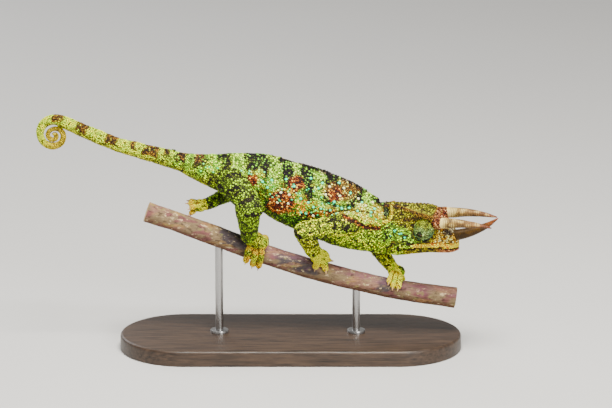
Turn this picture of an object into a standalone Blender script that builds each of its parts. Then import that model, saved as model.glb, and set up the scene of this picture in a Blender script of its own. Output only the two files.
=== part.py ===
"""A life-size three-horned chameleon walking down a cut length of branch, on a plain stand.

The frame: +X runs to the animal's head, +Y to its left side, +Z up. The origin is under
the middle of the whole model, on the surface that the stand rests on. Sizes are written
in millimetres and become metres when a mesh is made.
"""

import math

import bmesh
import bpy
import numpy as np
from mathutils import Matrix, Vector

MM = 0.001
GAP = 0.3          # between two solids that touch
TURN = 2 * math.pi

# Numbers of sides round each kind of loft
TRUNK_SIDES = 28
TAIL_SIDES = 14
LIMB_SIDES = 14
TOE_SIDES = 8
HORN_SIDES = 10
BRANCH_SIDES = 14

# Trunk from the tail base to the neck: x, y, z of the axis, then half height, half width
# and how sharply the back is drawn up into a keel
TRUNK_KNOTS = (
    (-98.5, 0.0, 116.2, 3.15, 2.7, 0.0),
    (-93.3, 0.0, 113.8, 3.30, 2.8, 0.0),
    (-83.3, 0.0, 109.4, 3.45, 3.0, 0.0),
    (-73.3, 0.0, 105.4, 3.65, 3.2, 0.0),
    (-63.3, 0.0, 102.6, 3.95, 3.4, 0.0),
    (-53.3, 0.0, 99.8, 4.35, 3.7, 0.05),
    (-43.3, 0.0, 97.0, 4.85, 4.1, 0.1),
    (-33.5, -0.1, 94.0, 7.0, 5.1, 0.2),
    (-25.8, -0.2, 92.1, 8.9, 6.6, 0.3),
    (-13.3, -0.1, 89.9, 11.7, 8.2, 0.35),
    (-2.3, 0.2, 87.2, 13.7, 9.0, 0.4),
    (11.7, 0.5, 80.8, 16.0, 9.6, 0.4),
    (26.7, 0.4, 74.8, 16.9, 9.7, 0.4),
    (41.7, -0.1, 68.3, 16.3, 9.1, 0.35),
    (50.0, -0.5, 64.9, 14.6, 8.5, 0.3),
)
# Each length of the straight tail and trunk, between two of the knots above
TRUNK_NODES = (
    ("tail_tip_length", 0, 3, 6),
    ("tail_middle", 3, 5, 5),
    ("tail_base", 5, 7, 6),
    ("hips", 7, 9, 6),
    ("torso_rear", 9, 11, 6),
    ("torso_middle", 11, 12, 4),
    ("torso_front", 12, 14, 6),
)

# Coiled end of the tail: distance from the coil's centre, radial half height and half width
# at each quarter turn, from the top of the outer turn inwards
COIL_CENTRE = Vector((-105.8, 0.0, 111.2))
COIL_DRIFT = 0.8            # the inner turns lie this much lower
COIL_QUARTERS = (
    (7.20, 2.60, 2.45),
    (6.75, 1.88, 2.10),
    (6.35, 1.68, 1.90),
    (4.80, 1.36, 1.70),
    (3.19, 1.10, 1.40),
    (2.92, 1.15, 1.32),
    (2.22, 1.17, 1.28),
    (1.35, 1.12, 1.18),
    (0.42, 1.05, 1.05),
    (0.51, 0.50, 0.56),
)
COIL_NODES = (("tail_coil_core", 4, 9), ("tail_coil_turn_2", 2, 4), ("tail_coil_turn_1", 0, 2))

# Head, in its own frame: x forward from the nape, y to its left, z up
HEAD_ORIGIN = Vector((62.7, -1.0, 63.9))
HEAD_YAW, HEAD_PITCH, HEAD_ROLL = -15.0, 3.0, 10.0
HEAD_STATIONS = (-6, -3, 0, 3, 6, 9, 12, 15, 18, 21, 24, 26.5, 29, 31, 32.8, 34, 34.6)
# Profiles along x: heights of the mid-line, then half widths and heights down the side
CROWN_Z = ((-6, 11.7), (2, 12.0), (12, 11.4), (19, 10.9), (24, 9.4), (29, 5.0), (32.5, 0.6), (34.6, -3.4))
CREST_Y = ((-6, 1.6), (2, 2.4), (9, 4.0), (15, 6.0), (20, 6.7), (26, 5.2), (30, 3.6), (33.4, 2.0), (34.6, 0.5))
CREST_LIFT = ((-6, 0.0), (2, 0.3), (14, 0.4), (21, 0.3), (26, 0.0), (34.6, 0.0))
TEMPLE_Y = ((-6, 6.2), (2, 7.4), (9, 7.6), (18, 5.9), (24, 5.3), (30, 4.4), (33.4, 2.6), (34.6, 0.8))
CHEEK_Y = ((-6, 8.2), (2, 9.3), (9, 9.8), (16, 9.0), (22, 7.5), (28, 5.9), (32, 4.1), (34.6, 0.9))
CHEEK_Z = ((-6, -1.8), (6, -3.4), (16, -3.4), (28, -4.2), (34.6, -4.8))
LIP_Y = ((-6, 7.5), (4, 8.9), (12, 8.9), (20, 7.7), (27, 6.1), (32, 4.1), (34.6, 0.9))
MOUTH_Z = ((-6, -9.0), (5, -8.6), (9, -7.7), (16, -6.4), (22, -6.0), (28, -6.4), (34.6, -7.0))
CHIN_Z = ((-6, -15.0), (4, -14.5), (12, -12.7), (20, -11.1), (28, -10.4), (32, -9.8), (34.6, -8.6))
CROWN_DIP = 0.4              # the crown is this much lower than its two crests
JAW_SHARE = 0.66             # the jaw's edge, as shares of the lip's half width and depth
JAW_DROP = 0.72
JAW_HINGE = ((5.5, -9.3), (3.6, -12.0), (2.0, -17.0))   # where the jaw ends, below the mouth's corner

# Horns: centre line from the sunk root to the tip, with the radius at each point
SIDE_HORN = ((25.6, 6.3, 8.0, 2.6), (29.2, 6.4, 8.3, 2.6), (34.0, 6.6, 8.9, 2.25), (40.0, 6.7, 9.3, 1.75), (46.5, 6.6, 9.2, 1.1), (52.2, 6.5, 8.7, 0.3))
NOSE_HORN = ((29.0, 0.0, -2.4, 2.75), (32.6, 0.0, -0.8, 2.75), (37.5, 0.0, 0.9, 2.55), (42.5, 0.0, 3.2, 2.15), (48.0, 0.0, 6.4, 1.5), (54.0, 0.0, 11.3, 0.3))
HORN_RINGS = 12
HORN_RING_DEPTH = 0.16
# The scaly boss that each horn grows from: back end, front end, and its radius there
SIDE_BOSS = ((22.6, 4.9, 6.6, 3.2), (24.8, 5.8, 7.6, 3.3), (27.1, 6.4, 8.0, 3.0))
NOSE_BOSS = ((27.0, 0.0, -3.4, 4.6), (30.5, 0.0, -1.9, 4.1), (33.0, 0.0, -0.6, 3.3))
NOSTRIL = Vector((29.4, 4.7, -1.9))
NOSTRIL_RADIUS = 0.8

# Eye turret: a ball of skin with a small opening, turned on its own axis
TURRET_CENTRE = Vector((18.1, 7.0, 3.5))
TURRET_AXIS = Vector((-0.22, 0.96, -0.18))
TURRET_PROFILE = (   # distance out along the axis, radius: outside, over the lid, into the cup
    (-2.6, 4.3), (-1.2, 5.05), (0.6, 5.15), (2.2, 4.65), (3.5, 3.65), (4.5, 2.5),
    (5.1, 1.95), (5.35, 1.6), (5.2, 1.3), (4.7, 1.62), (3.9, 1.98), (3.1, 2.05), (2.0, 1.7),
)
TURRET_BACK, CUP_BOTTOM = -3.2, 1.2
TURRET_SIDES = 16
EYE_OUT, EYE_RADIUS = 3.3, 1.72

# Branch: x, y, z of the axis and radius
BRANCH_KNOTS = (
    (-60.0, 0.0, 70.9, 5.1), (-44.0, 0.3, 65.3, 4.9), (-30.0, 0.4, 60.0, 5.1), (0.0, 0.0, 48.6, 4.9),
    (30.0, -0.3, 39.2, 5.1), (45.0, 0.0, 35.2, 4.9), (62.0, 0.2, 31.2, 4.95), (95.0, 0.0, 26.2, 5.2),
)
BRANCH_RINGS = 22

# Stand
BASE_CENTRE_X = 12.0
BASE_LENGTH, BASE_WIDTH, BASE_HEIGHT, BASE_CORNER = 172.0, 66.0, 8.0, 33.0
BASE_EDGE = 1.5
ROD_RADIUS = 2.0
COLLAR_RADIUS, COLLAR_HEIGHT = 4.6, 1.6   # the flange at each rod's foot
ROD_AT = {"stand_rod_rear": -24.0, "stand_rod_front": 45.0}

# Limbs: joints, then the radius at the root, at the thickest part and at the far end
LIMBS = {
    "front_right": {
        "upper": (Vector((42.5, -5.5, 66.5)), Vector((18.6, -18.5, 65.8)), (6.6, 5.5, 5.0)),
        "lower": (Vector((18.6, -18.5, 65.4)), Vector((23.2, -6.8, 53.0)), (4.6, 4.6, 4.1)),
        "names": ("upper_arm", "forearm", "hand"),
    },
    "front_left": {
        "upper": (Vector((40.5, 5.5, 62.0)), Vector((53.6, 17.0, 50.6)), (6.4, 5.2, 4.6)),
        "lower": (Vector((53.6, 17.0, 50.6)), Vector((62.4, 4.4, 41.6)), (4.3, 4.2, 3.2)),
        "names": ("upper_arm", "forearm", "hand"),
    },
    "rear_right": {
        "upper": (Vector((-17.0, -4.5, 87.5)), Vector((-6.6, -17.0, 77.6)), (8.2, 7.0, 5.6)),
        "lower": (Vector((-9.0, -16.6, 76.6)), Vector((-8.6, -8.0, 60.4)), (6.6, 5.6, 4.1)),
        "names": ("thigh", "shin", "foot"),
    },
    "rear_left": {
        "upper": (Vector((-17.5, 4.5, 87.0)), Vector((-14.6, 15.0, 76.6)), (7.8, 6.4, 5.2)),
        "lower": (Vector((-14.6, 14.4, 78.4)), Vector((-30.4, 5.8, 73.4)), (4.4, 3.9, 3.1)),
        "names": ("thigh", "shin", "foot"),
    },
}
# Feet that grip. palm: x along the branch, degrees round from its top towards the near side,
# height over the bark. toes: the knuckle and then the tip, each as x, degrees and height, with
# the toe's radius
GRIPS = {
    "front_right": {
        "palm": (24.4, 22.0, 3.6, (5.0, 3.6, 4.0)),
        "toes": (
            ((23.6, 34.0, 2.4), (23.6, 60.0, 1.6), 1.6),
            ((27.2, 30.0, 2.4), (28.4, 58.0, 1.6), 1.6),
            ((26.0, 6.0, 4.4), (29.0, 2.0, 1.8), 1.45),
            ((25.8, -16.0, 3.6), (29.2, -26.0, 1.6), 1.5),
            ((24.6, -36.0, 2.6), (27.8, -60.0, 1.5), 1.5),
        ),
    },
    "front_left": {
        "palm": (63.6, -14.0, 3.6, (4.6, 3.6, 3.6)),
        "toes": (
            ((60.9, 22.0, 2.6), (60.5, 44.0, 1.7), 1.45),
            ((63.0, 26.0, 2.6), (62.8, 60.0, 1.7), 1.5),
            ((65.6, 24.0, 2.5), (65.4, 60.0, 1.6), 1.5),
            ((64.0, -52.0, 2.2), (64.4, -104.0, 1.5), 1.55),
            ((67.2, -44.0, 2.2), (68.8, -98.0, 1.5), 1.55),
        ),
    },
    "rear_right": {
        "palm": (-6.6, 46.0, 3.4, (5.6, 3.4, 4.4)),
        "toes": (
            ((-9.2, 80.0, 2.3), (-8.6, 126.0, 2.6), 1.7),
            ((-5.6, 82.0, 2.4), (-5.0, 132.0, 2.9), 1.75),
            ((-3.0, 78.0, 2.3), (-2.2, 130.0, 2.9), 1.65),
            ((-3.4, -8.0, 2.8), (-1.0, -84.0, 1.6), 1.8),
            ((-6.8, -12.0, 2.8), (-5.4, -92.0, 1.6), 1.8),
        ),
    },
}
# The rear left foot trails: it only touches the branch. Its palm, and each toe's tip and radius
TRAILING_PALM = (Vector((-33.6, 4.4, 73.0)), (3.6, 3.2, 3.4))
TRAILING_TOES = (
    (Vector((-37.6, 6.2, 74.6)), 1.6),
    (Vector((-37.9, 3.4, 74.4)), 1.6),
    (Vector((-37.4, 0.9, 72.9)), 1.5),
    (Vector((-37.8, 1.6, 70.0)), 1.3),
    (Vector((-36.9, 4.6, 69.6)), 1.3),
)
CLAW_LENGTH = 1.5
CLAW_RADIUS = 0.52
# Toes that grow together: numbers of the toes on each side of the grip
BUNDLES = {"front_right": ((0, 1), (2, 3, 4)), "front_left": ((0, 1, 2), (3, 4)), "rear_right": ((0, 1, 2), (3, 4)),
           "rear_left": ((0, 1, 2), (3, 4))}
WEB_SHARE = 0.84              # thickness of the web between two toes, as a share of a toe's

# Colours as linear red, green, blue, with roughness and metallic
FINISHES = {
    "skin_head": ((0.30, 0.30, 0.08), 0.6, 0.0),
    "skin_body": ((0.25, 0.36, 0.20), 0.6, 0.0),
    "skin_limbs": ((0.30, 0.38, 0.07), 0.6, 0.0),
    "skin_tail": ((0.45, 0.40, 0.09), 0.6, 0.0),
    "eyelid": ((0.16, 0.28, 0.22), 0.55, 0.0),
    "horn": ((0.33, 0.25, 0.19), 0.5, 0.0),
    "eyeball": ((0.03, 0.02, 0.015), 0.1, 0.0),
    "bark": ((0.24, 0.17, 0.15), 0.85, 0.0),
    "stand_wood": ((0.05, 0.035, 0.028), 0.45, 0.0),
    "stand_metal": ((0.30, 0.30, 0.31), 0.3, 1.0),
}


def clear_scene():
    for obj in list(bpy.data.objects):
        bpy.data.objects.remove(obj, do_unlink=True)


def material_named(name):
    """The finish of that name as a Principled material, made once."""
    found = bpy.data.materials.get(name)
    if found:
        return found
    colour, roughness, metallic = FINISHES[name]
    made = bpy.data.materials.new(name)
    made.use_nodes = True
    shader = made.node_tree.nodes["Principled BSDF"]
    shader.inputs["Base Color"].default_value = (*colour, 1.0)
    shader.inputs["Roughness"].default_value = roughness
    shader.inputs["Metallic"].default_value = metallic
    return made


def object_from(bm, name, finish, matrix=None):
    """Turns a bmesh in millimetres into a named object in metres."""
    if matrix is not None:
        bm.transform(matrix)
    bm.transform(Matrix.Scale(MM, 4))
    bmesh.ops.recalc_face_normals(bm, faces=bm.faces)
    mesh = bpy.data.meshes.new(name)
    bm.to_mesh(mesh)
    bm.free()
    mesh.materials.append(material_named(finish))
    mesh.shade_smooth()
    mesh.set_sharp_from_angle(angle=math.radians(50))
    obj = bpy.data.objects.new(name, mesh)
    bpy.context.scene.collection.objects.link(obj)
    return obj


def hermite(knots, along, at):
    """A smooth curve through rows of numbers, read at the places in at."""
    knots = np.asarray(knots, float)
    steps = np.diff(along)[:, None]
    slopes = np.diff(knots, axis=0) / steps
    tangents = np.empty_like(knots)
    tangents[0], tangents[-1] = slopes[0], slopes[-1]
    before, after = steps[:-1], steps[1:]
    tangents[1:-1] = (slopes[:-1] * after + slopes[1:] * before) / (before + after)
    span = np.clip(np.searchsorted(along, at, side="right") - 1, 0, len(knots) - 2)
    width = steps[span]
    t = ((at - along[span]) / width[:, 0])[:, None]
    return (
        knots[span] * (2 * t**3 - 3 * t**2 + 1)
        + tangents[span] * width * (t**3 - 2 * t**2 + t)
        + knots[span + 1] * (3 * t**2 - 2 * t**3)
        + tangents[span + 1] * width * (t**3 - t**2)
    )


def lengths_of(knots):
    """Distance run along the knots' points."""
    points = np.asarray(knots, float)[:, :3]
    return np.concatenate([[0.0], np.cumsum(np.linalg.norm(np.diff(points, axis=0), axis=1))])


def profile(knots, x):
    """The height or width that a two-column profile gives at x."""
    table = np.asarray(knots, float)
    return float(hermite(table[:, 1:], table[:, 0], np.array([float(x)]))[0, 0])


def directions(points, hint, tangent=None):
    """Tangent, side and up at each point of a path. Side lies as near to the hint as it can."""
    if tangent is None:
        tangent = np.gradient(points, axis=0)
    tangent = tangent / np.linalg.norm(tangent, axis=1)[:, None]
    hint = np.asarray(hint, float)
    side = hint - (tangent @ hint)[:, None] * tangent
    side /= np.linalg.norm(side, axis=1)[:, None]
    return tangent, side, np.cross(tangent, side)


def rings_of(rows, sides, hint=(0.0, 1.0, 0.0), tangent=None):
    """Cross-sections along rows of x, y, z, half height, half width and keel."""
    points = rows[:, :3]
    _, side, up = directions(points, hint, tangent)
    angle = np.arange(sides) * TURN / sides
    rise = rows[:, 3:4] * np.cos(angle)
    keel = 1 - rows[:, 5:6] * np.maximum(np.cos(angle), 0) ** 2
    spread = rows[:, 4:5] * np.sin(angle) * keel
    return points[:, None] + up[:, None] * rise[..., None] + side[:, None] * spread[..., None]


def loft(bm, rings):
    """Extrudes a cap through the rings, which leaves one closed body."""
    cap_verts = [bm.verts.new(p) for p in rings[0]]
    cap = bm.faces.new(cap_verts)
    for ring in rings[1:]:
        place = {vert: p for vert, p in zip(cap_verts, ring)}
        made = bmesh.ops.extrude_face_region(bm, geom=[cap, *cap.edges, *cap.verts])["geom"]
        cap = next(item for item in made if isinstance(item, bmesh.types.BMFace))
        moved = {}
        for vert in cap.verts:
            below = next(e.other_vert(vert) for e in vert.link_edges if e.other_vert(vert) in place)
            moved[below] = vert
            vert.co = place[below]
        cap_verts = [moved[vert] for vert in cap_verts]
    return bm


def rounded(rows):
    """Adds a round end to both ends of a path whose columns 3 and 4 are radii."""
    out = []
    for end, inner in ((rows[0], rows[1]), (rows[-1], rows[-2])):
        away = end[:3] - inner[:3]
        away /= np.linalg.norm(away)
        radius = min(end[3], end[4])
        extra = []
        for turn in (35, 65, 85):
            share = math.cos(math.radians(turn))
            row = end.copy()
            row[:3] += away * radius * math.sin(math.radians(turn))
            row[3:5] *= share
            extra.append(row)
        out.append(extra)
    return np.array(out[0][::-1] + list(rows) + out[1])


def tube_rows(knots, count, grow=0.0):
    """A round tube's rows from knots of x, y, z, radius."""
    knots = np.asarray(knots, float)
    along = lengths_of(knots)
    rows = hermite(knots, along, np.linspace(0, along[-1], count))
    rows[:, 3] = np.maximum(rows[:, 3], 0.12) + grow
    return np.column_stack([rows, rows[:, 3], np.zeros(count)])


def applied(obj, operation, others, solver="EXACT"):
    """One Boolean with a collection of closed meshes, applied, with those meshes then removed."""
    tools = bpy.data.collections.new("tools")
    bpy.context.scene.collection.children.link(tools)
    for other in others:
        tools.objects.link(other)
        bpy.context.scene.collection.objects.unlink(other)
    modifier = obj.modifiers.new("join", "BOOLEAN")
    modifier.operation = operation
    modifier.operand_type = "COLLECTION"
    modifier.collection = tools
    modifier.solver = solver
    graph = bpy.context.evaluated_depsgraph_get()
    mesh = bpy.data.meshes.new_from_object(obj.evaluated_get(graph), depsgraph=graph)
    obj.modifiers.clear()
    old, obj.data = obj.data, mesh
    name = old.name
    bpy.data.meshes.remove(old)
    mesh.name = name
    for other in others:
        bpy.data.objects.remove(other, do_unlink=True)
    bpy.data.collections.remove(tools)
    return obj


def shells(bm):
    """The separate surfaces of a mesh, as lists of faces, the largest volume first."""
    left, found = set(bm.faces), []
    while left:
        reach, shell = [left.pop()], []
        while reach:
            face = reach.pop()
            shell.append(face)
            near = {f for edge in face.edges for f in edge.link_faces} & left
            left -= near
            reach.extend(near)
        found.append(shell)
    return sorted(found, key=shell_volume, reverse=True)


def shell_volume(shell):
    total = 0.0
    for face in shell:
        first = face.verts[0].co
        for a, b in zip(face.verts[1:], face.verts[2:]):
            total += first.dot(a.co.cross(b.co))
    return abs(total) / 6


def keep_shell(obj, rank=0):
    """Leaves one closed surface of an object: the largest, or the next by rank."""
    bm = bmesh.new()
    bm.from_mesh(obj.data)
    bmesh.ops.remove_doubles(bm, verts=bm.verts, dist=2e-7)
    bmesh.ops.dissolve_degenerate(bm, edges=bm.edges, dist=2e-7)
    for number, shell in enumerate(shells(bm)):
        if number != rank:
            bmesh.ops.delete(bm, geom=shell, context="FACES")
    bm.to_mesh(obj.data)
    bm.free()
    return obj


def solid(name, finish, rings, matrix=None):
    return object_from(loft(bmesh.new(), rings), name, finish, matrix)


# Tail and trunk

def coil_knots():
    """Rows on the coil every eighth of a turn, from its centre out to the top of the outer turn."""
    quarters = np.arange(len(COIL_QUARTERS), dtype=float)
    eighths = np.arange(0, len(COIL_QUARTERS) - 0.5, 0.5)
    rows = []
    for place, (distance, tall, wide) in zip(eighths, hermite(COIL_QUARTERS, quarters, eighths)):
        turn = place * TURN / 4
        inward = min(max((place - 1.5) / 3, 0.0), 1.0)
        drop = COIL_DRIFT * inward * inward * (3 - 2 * inward)
        rows.append((
            COIL_CENTRE.x - distance * math.sin(turn), 0.0,
            COIL_CENTRE.z - drop + distance * math.cos(turn), tall, wide, 0.0,
        ))
    return rows[::-1]


def spine():
    """Every knot from the tail's tip to the neck, and the distance run at each."""
    knots = coil_knots() + list(TRUNK_KNOTS)
    return np.array(knots), lengths_of(knots)


def spine_rings(first, last, count, sides, grow=0.0, end_gap=GAP / 2):
    """Rings between two knots of the spine. They stop short of both by half the gap."""
    knots, along = spine()
    at = np.linspace(along[first] + end_gap, along[last] - end_gap, count)
    rows = hermite(knots, along, at)
    rows[:, 3:5] += grow
    step = 0.05
    tangent = hermite(knots, along, at + step)[:, :3] - hermite(knots, along, at - step)[:, :3]
    return rings_of(rows, sides, tangent=tangent)


def build_tail_and_trunk():
    coil_count = 2 * len(COIL_QUARTERS) - 1
    last_of_coil = coil_count - 1
    for name, outer, inner in COIL_NODES:
        first, last = last_of_coil - 2 * inner, last_of_coil - 2 * outer
        if outer == 0:
            last = coil_count
        solid(name, "skin_tail", spine_rings(first, last, 4 * (inner - outer) + 1, TAIL_SIDES))
    for name, first, last, count in TRUNK_NODES:
        tail = name.startswith("tail")
        sides = TAIL_SIDES if tail else TRUNK_SIDES
        finish = "skin_tail" if tail else "skin_body"
        solid(name, finish, spine_rings(coil_count + first, coil_count + last, count, sides))


def trunk_cutter():
    """The trunk grown by the gap, which cuts the limbs clear of it."""
    coil_count = 2 * len(COIL_QUARTERS) - 1
    rings = spine_rings(coil_count + 6, coil_count + 14, 26, TRUNK_SIDES, grow=GAP, end_gap=0.0)
    return solid("trunk_cutter", "skin_body", rings)


# Head

def head_matrix():
    turn = (
        Matrix.Rotation(math.radians(HEAD_YAW), 4, "Z")
        @ Matrix.Rotation(math.radians(HEAD_PITCH), 4, "Y")
        @ Matrix.Rotation(math.radians(HEAD_ROLL), 4, "X")
    )
    return Matrix.Translation(HEAD_ORIGIN) @ turn


def head_ring(x, grow=0.0):
    """The head's outline at x: crown, crest, temple, cheek, lip, jaw and chin, then mirrored."""
    crown, mouth, chin = profile(CROWN_Z, x), profile(MOUTH_Z, x), profile(CHIN_Z, x)
    crest_y, crest_z = profile(CREST_Y, x), crown + profile(CREST_LIFT, x)
    cheek_y, cheek_z = profile(CHEEK_Y, x), profile(CHEEK_Z, x)
    lip_y = profile(LIP_Y, x)
    dip = min(CROWN_DIP, crest_y * 0.1)
    half = [
        (0.0, crown - dip), (crest_y, crest_z),
        (profile(TEMPLE_Y, x), 0.45 * crest_z + 0.55 * cheek_z), (cheek_y, cheek_z),
        (lip_y, mouth), (lip_y * JAW_SHARE, mouth + (chin - mouth) * JAW_DROP), (0.0, chin),
    ]
    outline = np.array(half + [(-y, z) for y, z in half[-2:0:-1]])
    if grow:
        middle = np.array((0.0, (crown + chin) / 2))
        away = outline - middle
        outline = outline + away / np.linalg.norm(away, axis=1)[:, None] * grow
    looped = np.vstack([outline[-2:], outline, outline[:3]])
    marks = np.arange(-2, len(outline) + 3, dtype=float)
    per_span = (2, 2, 2, 2, 3, 3)
    at = [i + k / n for i, n in enumerate(per_span) for k in range(n)]
    count = len(half) - 1
    at += [2 * count - t for t in ([float(count)] + at[:0:-1])]
    at = np.array(sorted(at))
    section = hermite(looped, marks, at)
    return np.column_stack([np.full(len(section), float(x)), section])


def mirrored(point, side):
    """A left-hand point in the head's frame, moved to the given side."""
    return Vector((point[0], point[1] * side, point[2]))


def horn_rows(knots, side, grow=0.0):
    """A horn with shallow rings from its base to near its tip."""
    count = 2 * HORN_RINGS + 5
    rows = tube_rows([(k[0], k[1] * side, k[2], k[3]) for k in knots], count, grow)
    if not grow:
        for number in range(4, count - 2, 2):
            rows[number, 3:5] -= HORN_RING_DEPTH * min(1.0, rows[number, 3])
    return rows


def turret_rings(side, grow=0.0):
    """The eye turret's rings, out along its axis and back down inside the lid."""
    axis = mirrored(TURRET_AXIS, side).normalized()
    centre = mirrored(TURRET_CENTRE, side)
    across = axis.cross(Vector((0, 0, 1))).normalized()
    up = across.cross(axis)
    outline = [(TURRET_BACK, 1.6), *TURRET_PROFILE, (CUP_BOTTOM, 0.7)]
    if grow:
        shell = np.array(outline[:7])
        run = np.gradient(shell, axis=0)
        normal = np.column_stack([-run[:, 1], run[:, 0]])
        normal /= np.linalg.norm(normal, axis=1)[:, None]
        outline = [(TURRET_BACK - 1.2 * grow, 1.6), *(shell + normal * 1.15 * grow), (6.5, 2.3)]
    rings = []
    for out, radius in outline:
        ring = []
        for k in range(TURRET_SIDES):
            angle = TURN * k / TURRET_SIDES
            ring.append(centre + axis * out + (across * math.cos(angle) + up * math.sin(angle)) * radius)
        rings.append(ring)
    return rings


def ball(name, finish, centre, radii, matrix=None, across=16, up=10, turn=None):
    """A ball stretched to three radii, turned and placed."""
    bm = bmesh.new()
    bmesh.ops.create_uvsphere(bm, u_segments=across, v_segments=up, radius=1.0)
    place = Matrix.Translation(centre) @ (turn or Matrix.Identity(4)) @ Matrix.Diagonal((*radii, 1.0))
    bm.transform(place)
    return object_from(bm, name, finish, matrix)


def mouth_cutter(matrix):
    """A thin curved slab along the mouth and down behind the jaw."""
    lips = [(x, profile(MOUTH_Z, x)) for x in (37, 34, 31, 28, 25, 22, 19, 16, 13, 10, 7.5)]
    path = np.array([(x, z) for x, z in lips] + list(JAW_HINGE))
    run = np.gradient(path, axis=0)
    across = np.column_stack([-run[:, 1], run[:, 0]])
    across /= np.linalg.norm(across, axis=1)[:, None]
    outline = np.vstack([path + across * GAP / 2, (path - across * GAP / 2)[::-1]])
    reach = 16.0
    rings = [[(x, y, z) for x, z in outline] for y in (-reach, reach)]
    return solid("mouth_cutter", "skin_head", rings, matrix)


def build_head():
    place = head_matrix()
    skull = solid("head", "skin_head", [head_ring(x) for x in HEAD_STATIONS], place)
    bosses = []
    for number, (knots, side) in enumerate(((SIDE_BOSS, 1), (SIDE_BOSS, -1), (NOSE_BOSS, 1))):
        rows = tube_rows([(k[0], k[1] * side, k[2], k[3]) for k in knots], 5)
        bosses.append(solid(f"boss_{number}", "skin_head", rings_of(rows, LIMB_SIDES, (0.05, 1, 0)), place))
    applied(skull, "UNION", bosses)
    applied(skull, "DIFFERENCE", [mouth_cutter(place)])
    jaw = skull.copy()
    jaw.data = skull.data.copy()
    jaw.name = jaw.data.name = "lower_jaw"
    bpy.context.scene.collection.objects.link(jaw)
    keep_shell(skull, 0)
    keep_shell(jaw, 1)
    cutters = []
    for name, knots, side in (
        ("horn_left", SIDE_HORN, 1), ("horn_right", SIDE_HORN, -1), ("horn_nose", NOSE_HORN, 1),
    ):
        solid(name, "horn", rings_of(horn_rows(knots, side), HORN_SIDES), place)
        cutters.append(solid(name + "_cutter", "horn", rings_of(horn_rows(knots, side, GAP)[:12], HORN_SIDES), place))
        cut_root(cutters[-1], place, knots, side)
    for label, side in (("left", 1), ("right", -1)):
        turret = solid(f"eye_turret_{label}", "eyelid", turret_rings(side), place)
        keep_shell(turret)
        centre = mirrored(TURRET_CENTRE, side) + mirrored(TURRET_AXIS, side).normalized() * EYE_OUT
        ball(f"eye_{label}", "eyeball", centre, (EYE_RADIUS,) * 3, place, 12, 8)
        cutters.append(solid(f"turret_cutter_{label}", "eyelid", turret_rings(side, GAP), place))
        cutters.append(ball(f"nostril_{label}", "skin_head", mirrored(NOSTRIL, side), (NOSTRIL_RADIUS * 1.5, 1.3, NOSTRIL_RADIUS), place, 10, 6))
    applied(skull, "DIFFERENCE", cutters)
    keep_shell(skull)
    return place


def cut_root(cutter, place, knots, side):
    """Lengthens a horn's cutter behind its root, so that the socket's floor keeps the gap too."""
    root = Vector((knots[0][0], knots[0][1] * side, knots[0][2]))
    ahead = Vector((knots[1][0], knots[1][1] * side, knots[1][2]))
    back = (root - ahead).normalized() * GAP * MM
    back = place.to_3x3() @ back
    first = {tuple(v.co) for v in cutter.data.vertices[:HORN_SIDES]}
    for vert in cutter.data.vertices:
        if tuple(vert.co) in first:
            vert.co += back


def neck_rings(place, grow=0.0):
    """Rings that bridge the trunk's front ring and the head's rear ring."""
    coil_count = 2 * len(COIL_QUARTERS) - 1
    rear = spine_rings(coil_count + 12, coil_count + 14, 12, TRUNK_SIDES, end_gap=0.0)
    back, back_inner = rear[-1], rear[-2]
    front = np.array([place @ Vector(p) for p in head_ring(HEAD_STATIONS[0])])
    front_inner = np.array([place @ Vector(p) for p in head_ring(HEAD_STATIONS[1])])
    away = back - back_inner
    into = front_inner - front
    away /= np.linalg.norm(away, axis=1)[:, None]
    into /= np.linalg.norm(into, axis=1)[:, None]
    reach = np.linalg.norm(front.mean(0) - back.mean(0))
    rings = []
    first, last = GAP / 2 / reach, 1 - GAP / reach
    if grow:
        first, last = -GAP / reach, 1.0
    for t in np.linspace(first, last, 6):
        rings.append(
            back * (2 * t**3 - 3 * t**2 + 1) + away * reach * (t**3 - 2 * t**2 + t)
            + front * (3 * t**2 - 2 * t**3) + into * reach * (t**3 - t**2)
        )
    if grow:
        for number, ring in enumerate(rings):
            away = ring - ring.mean(0)
            rings[number] = ring + away / np.linalg.norm(away, axis=1)[:, None] * grow * 1.2
    return rings


# Branch and stand

def branch_rows(count, grow=0.0):
    rows = tube_rows(BRANCH_KNOTS, count)
    rows[:, 3:5] += grow
    return rows


def branch_cutter(name):
    return solid(name, "bark", rings_of(branch_rows(BRANCH_RINGS, GAP), BRANCH_SIDES))


def branch_point(x, degrees, over):
    """A point beside the branch: at x along it, turned from its top to the near side."""
    table = np.array(BRANCH_KNOTS)
    y, z, radius = hermite(table[:, 1:], table[:, 0], np.array([x]))[0]
    ahead = hermite(table[:, 1:], table[:, 0], np.array([x + 1.0]))[0]
    run = Vector((1.0, ahead[0] - y, ahead[1] - z)).normalized()
    side = Vector((0, 1, 0))
    side = (side - run * side.dot(run)).normalized()
    up = run.cross(side)
    angle = math.radians(degrees)
    return Vector((x, y, z)) + (up * math.cos(angle) - side * math.sin(angle)) * (radius + over)


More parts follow.
